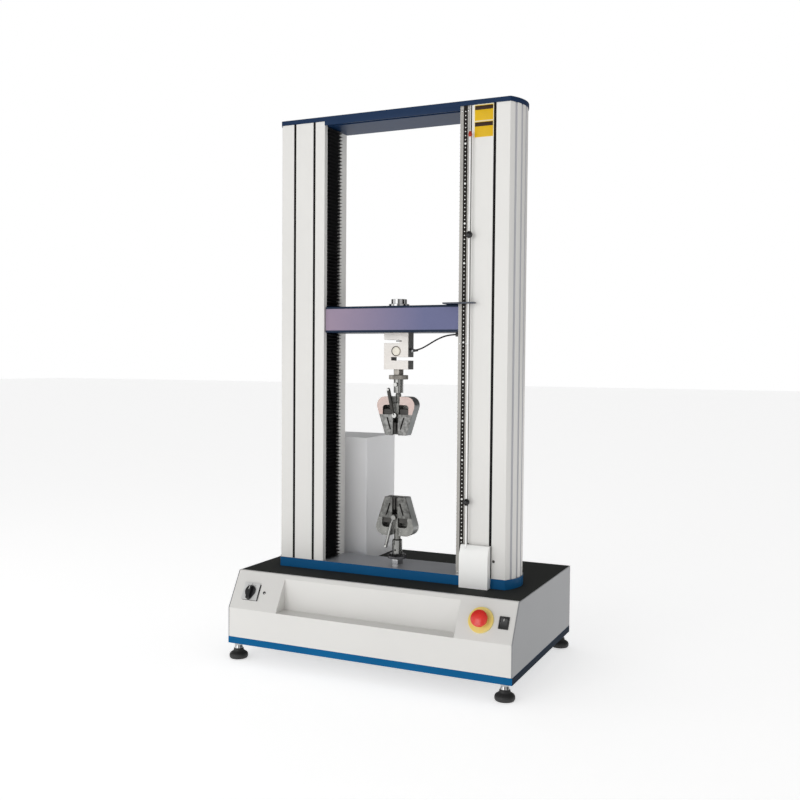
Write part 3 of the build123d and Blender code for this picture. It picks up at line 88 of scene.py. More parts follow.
class StageSettings(bpy.types.PropertyGroup):
    lens: FloatProperty(name="Lens", description="Focal length of the camera", default=43.365, unit="CAMERA")
    camera_place: FloatVectorProperty(
        name="Camera place", description="Where the camera stands", default=(1.094, -2.3993, 0.7999),
        subtype="TRANSLATION",
    )
    camera_turn: FloatProperty(
        name="Camera turn", description="Turn of the view to the left of straight back", default=0.433,
        subtype="ANGLE",
    )
    camera_tilt: FloatProperty(
        name="Camera tilt", description="How far the view looks down", default=0.039, subtype="ANGLE"
    )
    camera_roll: FloatProperty(
        name="Camera roll", description="Roll of the camera", default=0.008, subtype="ANGLE"
    )
    floor_colour: FloatVectorProperty(
        name="Floor colour", description="Colour of the plain floor", default=(0.92, 0.92, 0.92),
        subtype="COLOR",
    )
    key_power: FloatProperty(
        name="Key light", description="Power of the large front light", default=44.0, unit="POWER"
    )
    low_power: FloatProperty(
        name="Low light", description="Power of the low light on the left", default=6.0, unit="POWER"
    )
    top_power: FloatProperty(
        name="Top light", description="Power of the light overhead", default=1.5, unit="POWER"
    )
    bright_side: FloatProperty(
        name="Bright side", description="Surroundings in front and on the left", default=0.95
    )
    dark_side: FloatProperty(name="Dark side", description="Surroundings on the right", default=0.78)
    overhead: FloatProperty(
        name="Overhead", description="Share of the light that comes from straight above", default=0.30
    )
    behind: FloatProperty(
        name="Dark flags", description="Share of light mirrored from the flags beside and behind",
        default=0.14,
    )
    floor_glow: FloatProperty(name="Floor glow", description="Light given off by the floor", default=0.52)


class FinishSettings(bpy.types.PropertyGroup):
    white: FloatVectorProperty(
        name="White paint", description="Columns and base", default=(0.735, 0.725, 0.70), subtype="COLOR"
    )
    blue: FloatVectorProperty(
        name="Blue paint", description="Front and rear of the plinth", default=(0.002, 0.112, 0.285),
        subtype="COLOR",
    )
    # Navy also paints shade on the top and bottom edges of the crosshead
    navy: FloatVectorProperty(
        name="Navy paint", description="Edges of the crosshead", default=(0.004, 0.016, 0.042),
        subtype="COLOR",
    )
    crosshead: FloatVectorProperty(
        name="Crosshead paint", description="Front of the crosshead", default=(0.30, 0.235, 0.32),
        subtype="COLOR",
    )
    # The rear housing paint is lighter than the white: painted light
    housing: FloatVectorProperty(
        name="Housing paint", description="Rear housing", default=(0.86, 0.86, 0.87), subtype="COLOR"
    )
    cell: FloatVectorProperty(
        name="Load cell", description="Matt finish of the load cell", default=(0.74, 0.70, 0.66),
        subtype="COLOR",
    )
    yellow: FloatVectorProperty(
        name="Yellow", description="Fields of the placards", default=(0.70, 0.43, 0.002), subtype="COLOR"
    )
    red: FloatVectorProperty(
        name="Red", description="Stop button", default=(0.78, 0.030, 0.020), subtype="COLOR"
    )
    edge_width: FloatProperty(
        name="Sheet edge", description="Rounding of folded sheet edges", default=0.0014, unit="LENGTH"
    )


class DetailSettings(bpy.types.PropertyGroup):
    pleat_pitch: FloatProperty(
        name="Pleat pitch", description="Height of one bellows pleat", default=0.0095, unit="LENGTH"
    )
    dot_pitch: FloatProperty(
        name="Dot pitch", description="Distance from dot to dot on the ruler", default=0.010, unit="LENGTH"
    )
    dot_size: FloatProperty(
        name="Dot size", description="Diameter of a small ruler dot", default=0.0032, unit="LENGTH"
    )
    knurls: IntProperty(name="Knurls", description="Ridges round a lock ring", default=60, min=12)
    jaw_teeth: IntProperty(name="Jaw teeth", description="Teeth on each jaw face", default=14, min=4)


# Finishes


def feed(node, inputs):
    """Gives a node its inputs: plain values, or sockets of other nodes that are linked to it."""
    for name, value in inputs.items():
        if isinstance(value, bpy.types.NodeSocket):
            node.id_data.links.new(value, node.inputs[name])
        else:
            node.inputs[name].default_value = value


def add_node(tree, kind, inputs, **settings):
    """A new shader node with its settings and inputs."""
    node = tree.nodes.new(kind)
    for name, value in settings.items():
        setattr(node, name, value)
    feed(node, inputs)
    return node


def finish(label, colour, tone, metallic, rough, grain, tone_scale, stretch=(1, 1, 1), coat=0.0, shine=0.5,
           scuff=None, band=None, slide=None):
    """A procedural finish on Object coordinates: two tones in soft clouds, uneven gloss and a fine bump.

    rough is (from, to); grain is (scale, strength) of the bump, drawn out by stretch; scuff is (colour,
    scale, start); band is (edge colour, middle height, half height), painted shade on the edges above and
    below the middle; slide is (colour, from x, to x), a colour graded across x for painted
    reflection and painted shade.
    Without a second tone, it is a little darker than the first.
    """
    cloud_edges, scuff_softness, band_softness, bump_depth = (0.35, 0.68), 0.12, 0.0006, 0.0005
    material = bpy.data.materials.new(label)
    material.use_nodes = True
    tree = material.node_tree
    place = add_node(tree, "ShaderNodeTexCoord", {}).outputs["Object"]

    def noise(vector, scale, detail, **more):
        inputs = {"Vector": vector, "Scale": scale, "Detail": detail, **more}
        return add_node(tree, "ShaderNodeTexNoise", inputs).outputs["Fac"]

    def share(value, start, end):
        inputs = {"Value": value, "From Min": start, "From Max": end}
        return add_node(tree, "ShaderNodeMapRange", inputs).outputs["Result"]

    def lay_over(under, over, amount):
        inputs = {"Factor": amount, "A": under, "B": (*over, 1)}
        return add_node(tree, "ShaderNodeMix", inputs, data_type="RGBA").outputs["Result"]

    second = tone or [part * 0.93 for part in colour]
    shade = lay_over((*colour, 1), second, share(noise(place, tone_scale, 5.0), *cloud_edges))
    if scuff:
        scuff_colour, scuff_scale, start = scuff
        marks = noise(place, scuff_scale, 9.0, Roughness=0.7)
        shade = lay_over(shade, scuff_colour, share(marks, start, start + scuff_softness))
    axes = add_node(tree, "ShaderNodeSeparateXYZ", {"Vector": place})
    # Painted light graded across x: painted reflection on the crosshead, painted shade in the plug groove
    if slide:
        light_along_x_colour, start, end = slide
        shade = lay_over(shade, light_along_x_colour, share(axes.outputs["X"], start, end))
    # Painted shade: the edge colour far above and below the middle height
    if band:
        edge_shade_colour, middle, half = band
        off = add_node(tree, "ShaderNodeMath", {0: axes.outputs["Z"], 1: middle}, operation="SUBTRACT")
        far = add_node(tree, "ShaderNodeMath", {0: off.outputs[0]}, operation="ABSOLUTE")
        shade = lay_over(shade, edge_shade_colour, share(far.outputs[0], half, half + band_softness))

    grain_scale, bump_strength = grain
    drawn_out = add_node(tree, "ShaderNodeMapping", {"Vector": place, "Scale": stretch}).outputs["Vector"]
    fine = noise(drawn_out, grain_scale, 3.0)
    gloss = add_node(tree, "ShaderNodeMapRange", {"Value": fine, "To Min": rough[0], "To Max": rough[1]})
    bump = add_node(
        tree, "ShaderNodeBump", {"Height": fine, "Strength": bump_strength, "Distance": bump_depth}
    )
    feed(tree.nodes["Principled BSDF"], {
        "Base Color": shade, "Metallic": metallic, "Roughness": gloss.outputs["Result"],
        "Normal": bump.outputs["Normal"], "Specular IOR Level": shine, "Coat Weight": coat,
        "Coat Roughness": 0.12,
    })
    return material


def finishes():
    """All finishes of the machine by name.

    A row holds the label, two tones, metallic, the range of roughness, the grain, the scale of the tones and
    what else the finish needs.
    """
    chosen = bpy.context.scene.machine_finish
    head_middle, face_half = (HEAD_LOW + HEAD_HIGH) / 2, 0.0285

    def darker(colour, part):
        return [channel * part for channel in colour]

    rows = {
        # Enamels
        "white": ("white stove enamel", chosen.white, darker(chosen.white, 0.965), 0.0, (0.30, 0.42),
                  (900.0, 0.06), 3.0, {"coat": 0.25}),
        # A lighter copy of the white enamel for the switch housing: painted light
        "bright_white": ("bright white enamel", (0.90, 0.90, 0.88), (0.88, 0.88, 0.86), 0.0, (0.30, 0.42),
                         (900.0, 0.06), 3.0, {"coat": 0.2}),
        # A darker copy of the white enamel in the flute grooves: painted shade
        "flute": ("shaded flute enamel", (0.53, 0.53, 0.555), (0.51, 0.51, 0.535), 0.0, (0.36, 0.48),
                  (900.0, 0.06), 3.0, {"shine": 0.3}),
        # A darker copy of the white enamel for the base cover: painted shade on its sides
        "base_cover_shade": ("shaded white enamel", (0.287, 0.292, 0.302), (0.272, 0.277, 0.287), 0.0,
                      (0.34, 0.46), (900.0, 0.06), 3.0, {"coat": 0.1}),
        "blue": ("blue stove enamel", chosen.blue, darker(chosen.blue, 0.86), 0.0, (0.30, 0.42),
                 (900.0, 0.07), 6.0, {"shine": 0.08}),
        # A dark copy of the blue enamel for the plinth's ends: painted shade
        "plinth_shade": ("dark plinth enamel", (0.002, 0.014, 0.034), (0.002, 0.011, 0.028), 0.0,
                        (0.5, 0.62), (900.0, 0.07), 6.0, {"shine": 0.05}),
        "bed_blue": ("bed edge enamel", (0.003, 0.092, 0.24), (0.003, 0.080, 0.21), 0.0, (0.30, 0.42),
                     (900.0, 0.07), 6.0, {"shine": 0.12}),
        "beam_blue": ("beam enamel", (0.006, 0.026, 0.075), (0.005, 0.022, 0.066), 0.0, (0.36, 0.48),
                      (900.0, 0.07), 6.0, {"shine": 0.15}),
        "navy": ("navy stove enamel", chosen.navy, darker(chosen.navy, 0.8), 0.0, (0.28, 0.4),
                 (900.0, 0.07), 6.0, {"coat": 0.3}),
        # Crosshead: the navy band on the top and bottom edges is painted shade of the rounded edges, and the
        # blue that grows towards the right is painted reflection
        "crosshead": ("crosshead satin enamel", chosen.crosshead, (0.33, 0.25, 0.33), 0.0, (0.38, 0.50),
                      (700.0, 0.08), 5.0,
                      {"shine": 0.2, "band": (chosen.navy, head_middle, face_half),
                       "slide": ((0.135, 0.145, 0.27), -0.19, 0.10)}),
        # The rear housing is set lighter than the white enamel, painted light for the light it lacks behind
        # the columns
        "housing": ("housing grey enamel", chosen.housing, darker(chosen.housing, 0.95), 0.0, (0.36, 0.5),
                    (800.0, 0.08), 2.5, {}),
        "black_paint": ("black satin paint", (0.03, 0.03, 0.032), None, 0.0, (0.4, 0.55), (600.0, 0.1), 6.0,
                        {}),
        "frame": ("primed steel", (0.15, 0.16, 0.17), (0.11, 0.11, 0.12), 0.0, (0.5, 0.7), (200.0, 0.2),
                  6.0, {}),
        # Metals
        "ground": ("ground steel", (0.50, 0.51, 0.52), (0.40, 0.41, 0.42), 1.0, (0.22, 0.38), (260.0, 0.12),
                   9.0, {"stretch": (1, 14, 14)}),
        "bed": ("ground bed steel", (0.47, 0.48, 0.51), (0.39, 0.40, 0.43), 0.45, (0.32, 0.50),
                (220.0, 0.10), 7.0, {"stretch": (1, 16, 16)}),
        "black_steel": ("blackened steel", (0.035, 0.035, 0.035), (0.06, 0.06, 0.06), 0.7, (0.25, 0.45),
                        (500.0, 0.2), 40.0, {}),
        "chrome": ("bright chrome", (0.50, 0.50, 0.50), (0.42, 0.42, 0.42), 1.0, (0.05, 0.12),
                   (300.0, 0.03), 20.0, {}),
        "rod": ("bright ground rod", (0.88, 0.88, 0.87), (0.84, 0.84, 0.83), 0.35, (0.16, 0.26),
                (300.0, 0.03), 6.0, {}),
        "silver": ("matt silver plate", (0.66, 0.66, 0.65), (0.60, 0.60, 0.59), 0.1, (0.3, 0.42),
                   (900.0, 0.08), 40.0, {}),
        "ruler": ("anodised ruler strip", (0.32, 0.31, 0.29), (0.27, 0.26, 0.245), 0.7, (0.3, 0.45),
                  (300.0, 0.1), 6.0, {"stretch": (12, 12, 1)}),
        "ring": ("oiled ring steel", (0.34, 0.32, 0.29), (0.22, 0.21, 0.19), 0.8, (0.28, 0.42),
                 (400.0, 0.15), 60.0, {}),
        "ring_dark": ("dark polished ring", (0.15, 0.15, 0.155), (0.10, 0.10, 0.105), 1.0, (0.12, 0.22),
                      (400.0, 0.08), 60.0, {}),
        "lever_steel": ("polished lever steel", (0.30, 0.30, 0.29), (0.24, 0.24, 0.23), 1.0, (0.12, 0.22),
                        (300.0, 0.05), 40.0, {}),
        "roller": ("dull roller steel", (0.060, 0.057, 0.052), (0.038, 0.036, 0.033), 0.4, (0.35, 0.5),
                   (500.0, 0.1), 60.0, {}),
        "cell": ("load cell matt plating", chosen.cell, (0.76, 0.735, 0.70), 0.15, (0.40, 0.55),
                 (700.0, 0.12), 18.0, {}),
        # Dark finish for the load cell's right side and hollow: painted shade
        "cell_shade": ("load cell milled side", (0.10, 0.10, 0.095), (0.07, 0.07, 0.068), 0.6, (0.35, 0.5),
                      (300.0, 0.2), 30.0, {}),
        "cream_metal": ("cream plug face", (0.80, 0.76, 0.66), (0.70, 0.66, 0.57), 0.1, (0.3, 0.4),
                        (500.0, 0.1), 60.0, {}),
        # Painted shadow in the groove round the plug, darkest on its left
        "plug_shadow": ("plug groove", (0.045, 0.038, 0.030), (0.035, 0.030, 0.024), 0.0, (0.4, 0.5),
                        (900.0, 0.05), 6.0, {"shine": 0.2, "slide": ((0.34, 0.30, 0.25), -0.006, 0.013)}),
        "grip": ("blasted grip steel", (0.31, 0.31, 0.29), (0.20, 0.20, 0.19), 0.75, (0.34, 0.60),
                 (900.0, 0.35), 60.0, {"scuff": ((0.55, 0.55, 0.53), 120.0, 0.56)}),
        "grip_face": ("copper tinted grip face", (0.47, 0.355, 0.325), (0.50, 0.43, 0.40), 0.55,
                      (0.28, 0.42), (700.0, 0.12), 22.0, {}),
        # The flanks are copies of the grip steel: darker on the upper grip, painted shade; lighter on the
        # lower grip, painted light
        "upper_side": ("milled grip flank", (0.21, 0.22, 0.22), (0.14, 0.15, 0.15), 0.85, (0.22, 0.42),
                       (240.0, 0.22), 30.0, {"stretch": (10, 1, 10)}),
        "lower_side": ("milled lower flank", (0.52, 0.53, 0.52), (0.37, 0.38, 0.37), 0.5, (0.30, 0.48),
                       (240.0, 0.22), 30.0, {"stretch": (10, 1, 10)}),
        "upper_plate": ("worn upper jaw plate", (0.30, 0.30, 0.29), (0.11, 0.11, 0.105), 0.5, (0.34, 0.55),
                        (900.0, 0.35), 120.0, {"scuff": ((0.46, 0.46, 0.44), 190.0, 0.60)}),
        "lower_plate": ("worn lower jaw plate", (0.20, 0.20, 0.19), (0.065, 0.065, 0.06), 0.5, (0.34, 0.55),
                        (900.0, 0.35), 120.0, {"scuff": ((0.40, 0.40, 0.38), 190.0, 0.60)}),
        # Rubber, cloth and plastic
        "rubber": ("black rubber", (0.014, 0.014, 0.014), (0.022, 0.022, 0.022), 0.0, (0.42, 0.62),
                   (700.0, 0.25), 30.0, {}),
        "mat": ("ribbed black mat", (0.032, 0.034, 0.032), (0.034, 0.036, 0.033), 0.0, (0.70, 0.85),
                (340.0, 0.35), 8.0, {"stretch": (1, 3, 1), "shine": 0.12}),
        "bellows": ("coated bellows cloth", (0.008, 0.008, 0.009), (0.014, 0.014, 0.015), 0.0, (0.50, 0.70),
                    (1200.0, 0.35), 40.0, {"shine": 0.25}),
        "plastic": ("black moulded plastic", (0.018, 0.018, 0.019), (0.026, 0.026, 0.027), 0.0,
                    (0.32, 0.46), (1500.0, 0.25), 25.0, {}),
        "gloss": ("glossy black plastic", (0.012, 0.012, 0.013), None, 0.0, (0.12, 0.22), (900.0, 0.04),
                  6.0, {}),
        # Black for the real slot covers, and painted shade in the load cell's saw cut and the grips' guide
        # slits
        "black_slot_and_shade": ("black slot cover", (0.009, 0.008, 0.008), None, 0.0, (0.6, 0.75), (900.0, 0.1), 6.0,
                       {"shine": 0.1}),
        "cable_black": ("black cable jacket", (0.008, 0.008, 0.008), None, 0.0, (0.45, 0.6), (900.0, 0.05),
                        6.0, {"shine": 0.15}),
        "yellow": ("yellow moulded plastic", chosen.yellow, None, 0.0, (0.28, 0.38), (900.0, 0.06), 30.0,
                   {"shine": 0.2}),
        "disc_yellow": ("pale yellow disc", (0.86, 0.66, 0.16), (0.84, 0.70, 0.26), 0.0, (0.3, 0.4),
                        (900.0, 0.05), 30.0, {"shine": 0.3}),
        "red": ("red moulded plastic", chosen.red, darker(chosen.red, 0.8), 0.0, (0.2, 0.32), (900.0, 0.05),
                40.0, {"coat": 0.4}),
        "cap_red": ("dark red cap", (0.36, 0.040, 0.020), None, 0.0, (0.35, 0.5), (900.0, 0.05), 6.0,
                    {"shine": 0.2}),
        # Prints
        # White print, and painted highlights on the indicator and the lever tips
        "white_print_and_highlight": ("white screen print", (0.80, 0.80, 0.77), None, 0.0, (0.4, 0.5), (900.0, 0.05), 6.0,
                        {}),
        "print_black": ("black screen print", (0.02, 0.02, 0.02), None, 0.0, (0.4, 0.5), (900.0, 0.05), 6.0,
                        {}),
        "ruler_black": ("black ruler band", (0.016, 0.014, 0.012), None, 0.0, (0.5, 0.65), (500.0, 0.1),
                        6.0, {"shine": 0.12}),
        "placard_dark": ("dark placard band", (0.035, 0.016, 0.006), None, 0.0, (0.4, 0.5), (900.0, 0.05),
                         6.0, {"shine": 0.2}),
        "cream": ("cream placard border", (0.80, 0.74, 0.50), None, 0.0, (0.35, 0.45), (900.0, 0.05), 6.0,
                  {}),
    }
    return {key: finish(*row[:-1], **row[-1]) for key, row in rows.items()}


_paints = {}


def paint(key):
    """The finish of that name; all of them are made when the first is asked for."""
    if not _paints:
        _paints.update(finishes())
    return _paints[key]


# Mesh helpers


def settle(shape, name, body, slot, *paints, hides=(), merge=True, sharp=32):
    """Turns a bmesh into a piece of that name, with those finishes, on that body if one is given."""
    if merge:
        bmesh.ops.remove_doubles(shape, verts=shape.verts, dist=1e-6)
    bmesh.ops.recalc_face_normals(shape, faces=shape.faces)
    mesh = bpy.data.meshes.new(name)
    shape.to_mesh(mesh)
    shape.free()
    mesh.shade_smooth()
    mesh.set_sharp_from_angle(angle=radians(sharp))
    for key in paints:
        mesh.materials.append(paint(key))
    piece = bpy.data.objects.new(name, mesh)
    bpy.context.scene.collection.objects.link(piece)
    if hides:
        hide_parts(*hides)
    if body:
        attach(piece, body)
    return piece


def round_edges(shape, edges, width):
    """Rounds edges of a bmesh with two steps; an edge may be given more than once."""
    bmesh.ops.bevel(
        shape, geom=list(dict.fromkeys(edges)), offset=width, offset_type="OFFSET", segments=2, profile=0.5,
        affect="EDGES", clamp_overlap=True, material=-1,
    )


def soften(node, body, slot, *paints, width, choose=None):
    """A copy of a CAD node with flats joined and sharp edges rounded; it stands for the node.

    choose gives the number of a face's finish from its middle and its normal.
    """
    flat, sharp = radians(0.6), radians(28)
    shape = bmesh.new()
    shape.from_mesh(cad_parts[node].data)
    bmesh.ops.remove_doubles(shape, verts=shape.verts, dist=2e-6)
    bmesh.ops.dissolve_limit(
        shape, angle_limit=flat, use_dissolve_boundaries=False, verts=shape.verts, edges=shape.edges
    )
    edges = [e for e in shape.edges if len(e.link_faces) == 2 and e.calc_face_angle(0) > sharp]
    round_edges(shape, edges, width)
    for face in shape.faces:
        face.material_index = choose(face.calc_center_median(), face.normal) if choose else 0
    piece = settle(shape, f"{node}_finished", body, slot, *paints, hides=(node,), merge=False)
    piece.modifiers.new("even_flats", "WEIGHTED_NORMAL").keep_sharp = True
    return piece


def disc(shape, centre, axis, radius, height, segments=24, top=None, bevel=0.0):
    """A closed round body standing on centre along axis; top gives another radius for its far end."""
    turn = Vector((0, 0, 1)).rotation_difference(Vector(axis)).to_matrix().to_4x4()
    place = Matrix.Translation(Vector(centre)) @ turn @ Matrix.Translation((0, 0, height / 2))
    made = bmesh.ops.create_cone(
        shape, cap_ends=True, segments=segments, radius1=radius, radius2=radius if top is None else top,
        depth=height, matrix=place,
    )["verts"]
    if bevel:
        edges = (e for v in made for e in v.link_edges)
        round_edges(shape, (e for e in edges if any(len(f.verts) > 4 for f in e.link_faces)), bevel)


def block(shape, low, high, bevel=0.0, turn=None):
    """A closed box from its low to its high corner, with rounded edges if asked."""
    low, high = Vector(low), Vector(high)
    matrix = Matrix.Translation((low + high) / 2) @ Matrix.Diagonal((*(high - low), 1))
    made = bmesh.ops.create_cube(shape, size=1.0, matrix=(turn or Matrix.Identity(4)) @ matrix)["verts"]
    if bevel:
        round_edges(shape, (e for v in made for e in v.link_edges), bevel)


def lathe(shape, points, centre, axis, steps):
    """A closed outline of points spun right round an axis through centre."""
    ring = [shape.verts.new(point) for point in points]
    edges = [shape.edges.new(pair) for pair in zip(ring, ring[1:] + ring[:1])]
    bmesh.ops.spin(
        shape, geom=ring + edges, cent=centre, axis=axis, angle=2 * pi, steps=steps, use_merge=True,
        use_duplicate=False,
    )


def cap_screw(shape, centre, axis, radius, height):
    """A socket head screw: a round head with a recess."""
    axis = Vector(axis)
    disc(shape, centre, axis, radius, height, segments=20, bevel=radius * 0.12)
    top = Vector(centre) + axis * height
    near = radius * 0.05
    flats = (f for f in shape.faces if f.normal.dot(axis) > 0.99)
    heads = [f for f in flats if (f.calc_center_median() - top).length < near]
    bmesh.ops.inset_individual(shape, faces=heads, thickness=radius * 0.42)
    bmesh.ops.translate(shape, vec=-axis * height * 0.6, verts=list({v for f in heads for v in f.verts}))


def slope(x, along, out):
    """A point on the sloped panel: x, metres up the slope from its middle line, metres out of it."""
    return SLOPE_MIDDLE + Vector((x, 0, 0)) + SLOPE_UP * along + SLOPE_OUT * out


# Stage and cable


class STAGE_OT_build(bpy.types.Operator):
    """Build the floor, the lights and the camera"""

    bl_idname = "machine.build_stage"
    bl_label = "Stage, lights and camera"

    def execute(self, context):
        stage = context.scene.machine_stage
        shape = bmesh.new()
        bmesh.ops.create_grid(shape, x_segments=1, y_segments=1, size=30.0)
        mesh = bpy.data.meshes.new("studio_floor")
        shape.to_mesh(mesh)
        shape.free()
        ground = finish(
            "plain studio floor", stage.floor_colour, stage.floor_colour, 0.0, (0.75, 0.85), (40.0, 0.02), 6.0
        )
        feed(ground.node_tree.nodes["Principled BSDF"], {
            "Emission Color": (1, 1, 1, 1), "Emission Strength": stage.floor_glow,
        })
        mesh.materials.append(ground)
        floor = bpy.data.objects.new("studio_floor", mesh)
        context.scene.collection.objects.link(floor)

        yaw, pitch, roll = stage.camera_turn, stage.camera_tilt, stage.camera_roll
        forward = Vector((-sin(yaw) * cos(pitch), cos(yaw) * cos(pitch), -sin(pitch)))
        right = Vector((cos(yaw), sin(yaw), 0))
        up = right.cross(forward)
        x = right * cos(roll) + up * sin(roll)
        y = up * cos(roll) - right * sin(roll)
        lens = bpy.data.cameras.new("photo_camera")
        lens.lens, lens.sensor_width, lens.sensor_fit = stage.lens, 36.0, "HORIZONTAL"
        lens.clip_end = 60.0
        camera = bpy.data.objects.new("photo_camera", lens)
        turn = Matrix((x, y, -forward)).transposed().to_4x4()
        camera.matrix_world = Matrix.Translation(stage.camera_place) @ turn
        context.scene.collection.objects.link(camera)
        context.scene.camera = camera

        for name, place, aim, size, power in (
            ("key_light", (-1.1, -4.4, 1.4), (0, 0, 0.75), 2.6, stage.key_power),
            ("low_light", (-3.0, -1.4, 1.0), (0, 0, 0.7), 1.6, stage.low_power),
            ("top_light", (0.2, 0.6, 3.4), (0, 0.2, 0.6), 2.6, stage.top_power),
        ):
            light = bpy.data.lights.new(name, "AREA")
            light.shape, light.size, light.energy = "SQUARE", size, power
            lamp = bpy.data.objects.new(name, light)
            turn = (Vector(aim) - Vector(place)).to_track_quat("-Z", "Y").to_matrix().to_4x4()
            lamp.matrix_world = Matrix.Translation(place) @ turn
            context.scene.collection.objects.link(lamp)

        context.scene.world = self.surroundings(stage)
        context.scene.view_settings.view_transform = "Standard"
        return {"FINISHED"}

    def surroundings(self, stage):
        """A plain bright studio with dark flags that only mirrors see; the camera sees white."""
        world = bpy.data.worlds.new("studio")
        world.use_nodes = True
        tree = world.node_tree
        way = add_node(tree, "ShaderNodeTexCoord", {}).outputs["Generated"]
        ray = add_node(tree, "ShaderNodeLightPath", {}).outputs

        def fade(direction, start, end, low, high, curve="SMOOTHSTEP"):
            toward = add_node(tree, "ShaderNodeVectorMath", {0: way, 1: direction}, operation="DOT_PRODUCT")
            inputs = {"From Min": start, "From Max": end, "To Min": low, "To Max": high}
            inputs["Value"] = toward.outputs["Value"]
            return add_node(tree, "ShaderNodeMapRange", inputs, interpolation_type=curve).outputs["Result"]

        def product(first, second):
            return add_node(tree, "ShaderNodeMath", {0: first, 1: second}, operation="MULTIPLY").outputs[0]

        def swap(plain, other, test):
            return add_node(tree, "ShaderNodeMix", {"Factor": test, "A": plain, "B": other}).outputs["Result"]

        side = fade((1, 0, 0), -0.2, 0.9, stage.bright_side, stage.dark_side)
        height = fade((0, 0, 1), 0.15, 0.85, 1.0, stage.overhead)
        soft = product(side, height)
        depth = fade((0, 1, 0), -1.0, 1.0, 0.0, 1.0, curve="LINEAR")
        bands = add_node(tree, "ShaderNodeValToRGB", {"Fac": depth})
        dark = stage.behind
        stops = (
            (0.055, 0.30), (0.095, 1.0), (0.28, 1.0), (0.34, dark), (0.60, dark), (0.65, 0.85), (0.71, 0.85),
            (0.78, dark * 1.6),
        )
        ramp = bands.color_ramp.elements
        while len(ramp) < len(stops):
            ramp.new(0.5)
        for stop, (place, level) in zip(ramp, stops):
            stop.position = place
            stop.color = (level, level, level, 1)
        mirrored = product(soft, bands.outputs["Color"])
        reflected = swap(soft, mirrored, ray["Is Glossy Ray"])
        seen = swap(reflected, 1.0, ray["Is Camera Ray"])
        feed(tree.nodes["Background"], {"Strength": seen, "Color": (1, 1, 1, 1)})
        return world


class CABLE_OT_lay(bpy.types.Operator):
    """Lay the load cell's cable with its gland and its socket"""

    bl_idname = "machine.lay_cable"
    bl_label = "Load cell cable"

    def execute(self, context):
        points = (
            (0.044, -0.043, 0.832),
            (0.061, -0.0435, 0.8345),
            (0.083, -0.0465, 0.8445),
            (0.105, -0.0515, 0.8560),
            (0.128, -0.0570, 0.8660),
            (0.151, -0.0600, 0.8722),
            (0.172, -0.060, 0.8735),
        )
        line = bpy.data.curves.new("load_cell_cable", "CURVE")
        line.dimensions = "3D"
        line.bevel_depth = 0.002
        line.bevel_resolution = 4
        line.use_fill_caps = True
        spline = line.splines.new("NURBS")
        spline.points.add(len(points) - 1)
        for knot, place in zip(spline.points, points):
            knot.co = (*place, 1)
        spline.order_u = 3
        spline.use_endpoint_u = True
        spline.resolution_u = 12
        cable = bpy.data.objects.new("load_cell_cable", line)
        context.scene.collection.objects.link(cable)
        cable.data.materials.append(paint("cable_black"))
        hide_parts("cell_cable")
        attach(cable, "crosshead")

        along = Vector((1, 0, 0))
        cable_exit, cable_end = Vector(points[0]), Vector(points[-1])
        nut_radius, nut_length = 0.006, 0.0045
        sleeve_radius, sleeve_tip, sleeve_length = 0.0052, 0.0042, 0.0035
        boot_radius, boot_tip, boot_length, boot_overlap = 0.0040, 0.0023, 0.0125, 0.0002
        socket_half, socket_length = 0.0055, 0.011
        sleeve_start = cable_exit - along * sleeve_length
        nut_start = sleeve_start - along * nut_length
        shape = bmesh.new()
        disc(shape, nut_start, along, nut_radius, nut_length, segments=6, bevel=0.0004)
        disc(shape, sleeve_start, along, sleeve_radius, sleeve_length, top=sleeve_tip, bevel=0.0004)
        settle(shape, "cell_gland_nut", "crosshead", "black_steel", "ground", hides=("cell_gland",))
        shape = bmesh.new()
        boot_start = cable_exit - along * boot_overlap
        disc(shape, boot_start, along, boot_radius, boot_length, top=boot_tip, bevel=0.0002)
        corner = Vector((0, socket_half, socket_half))
        block(shape, cable_end - corner, cable_end + along * socket_length + corner, bevel=0.0008)
        settle(shape, "cable_boot_and_socket", "crosshead", "black_plastic", "plastic")
        return {"FINISHED"}


# Painted sheet and structure


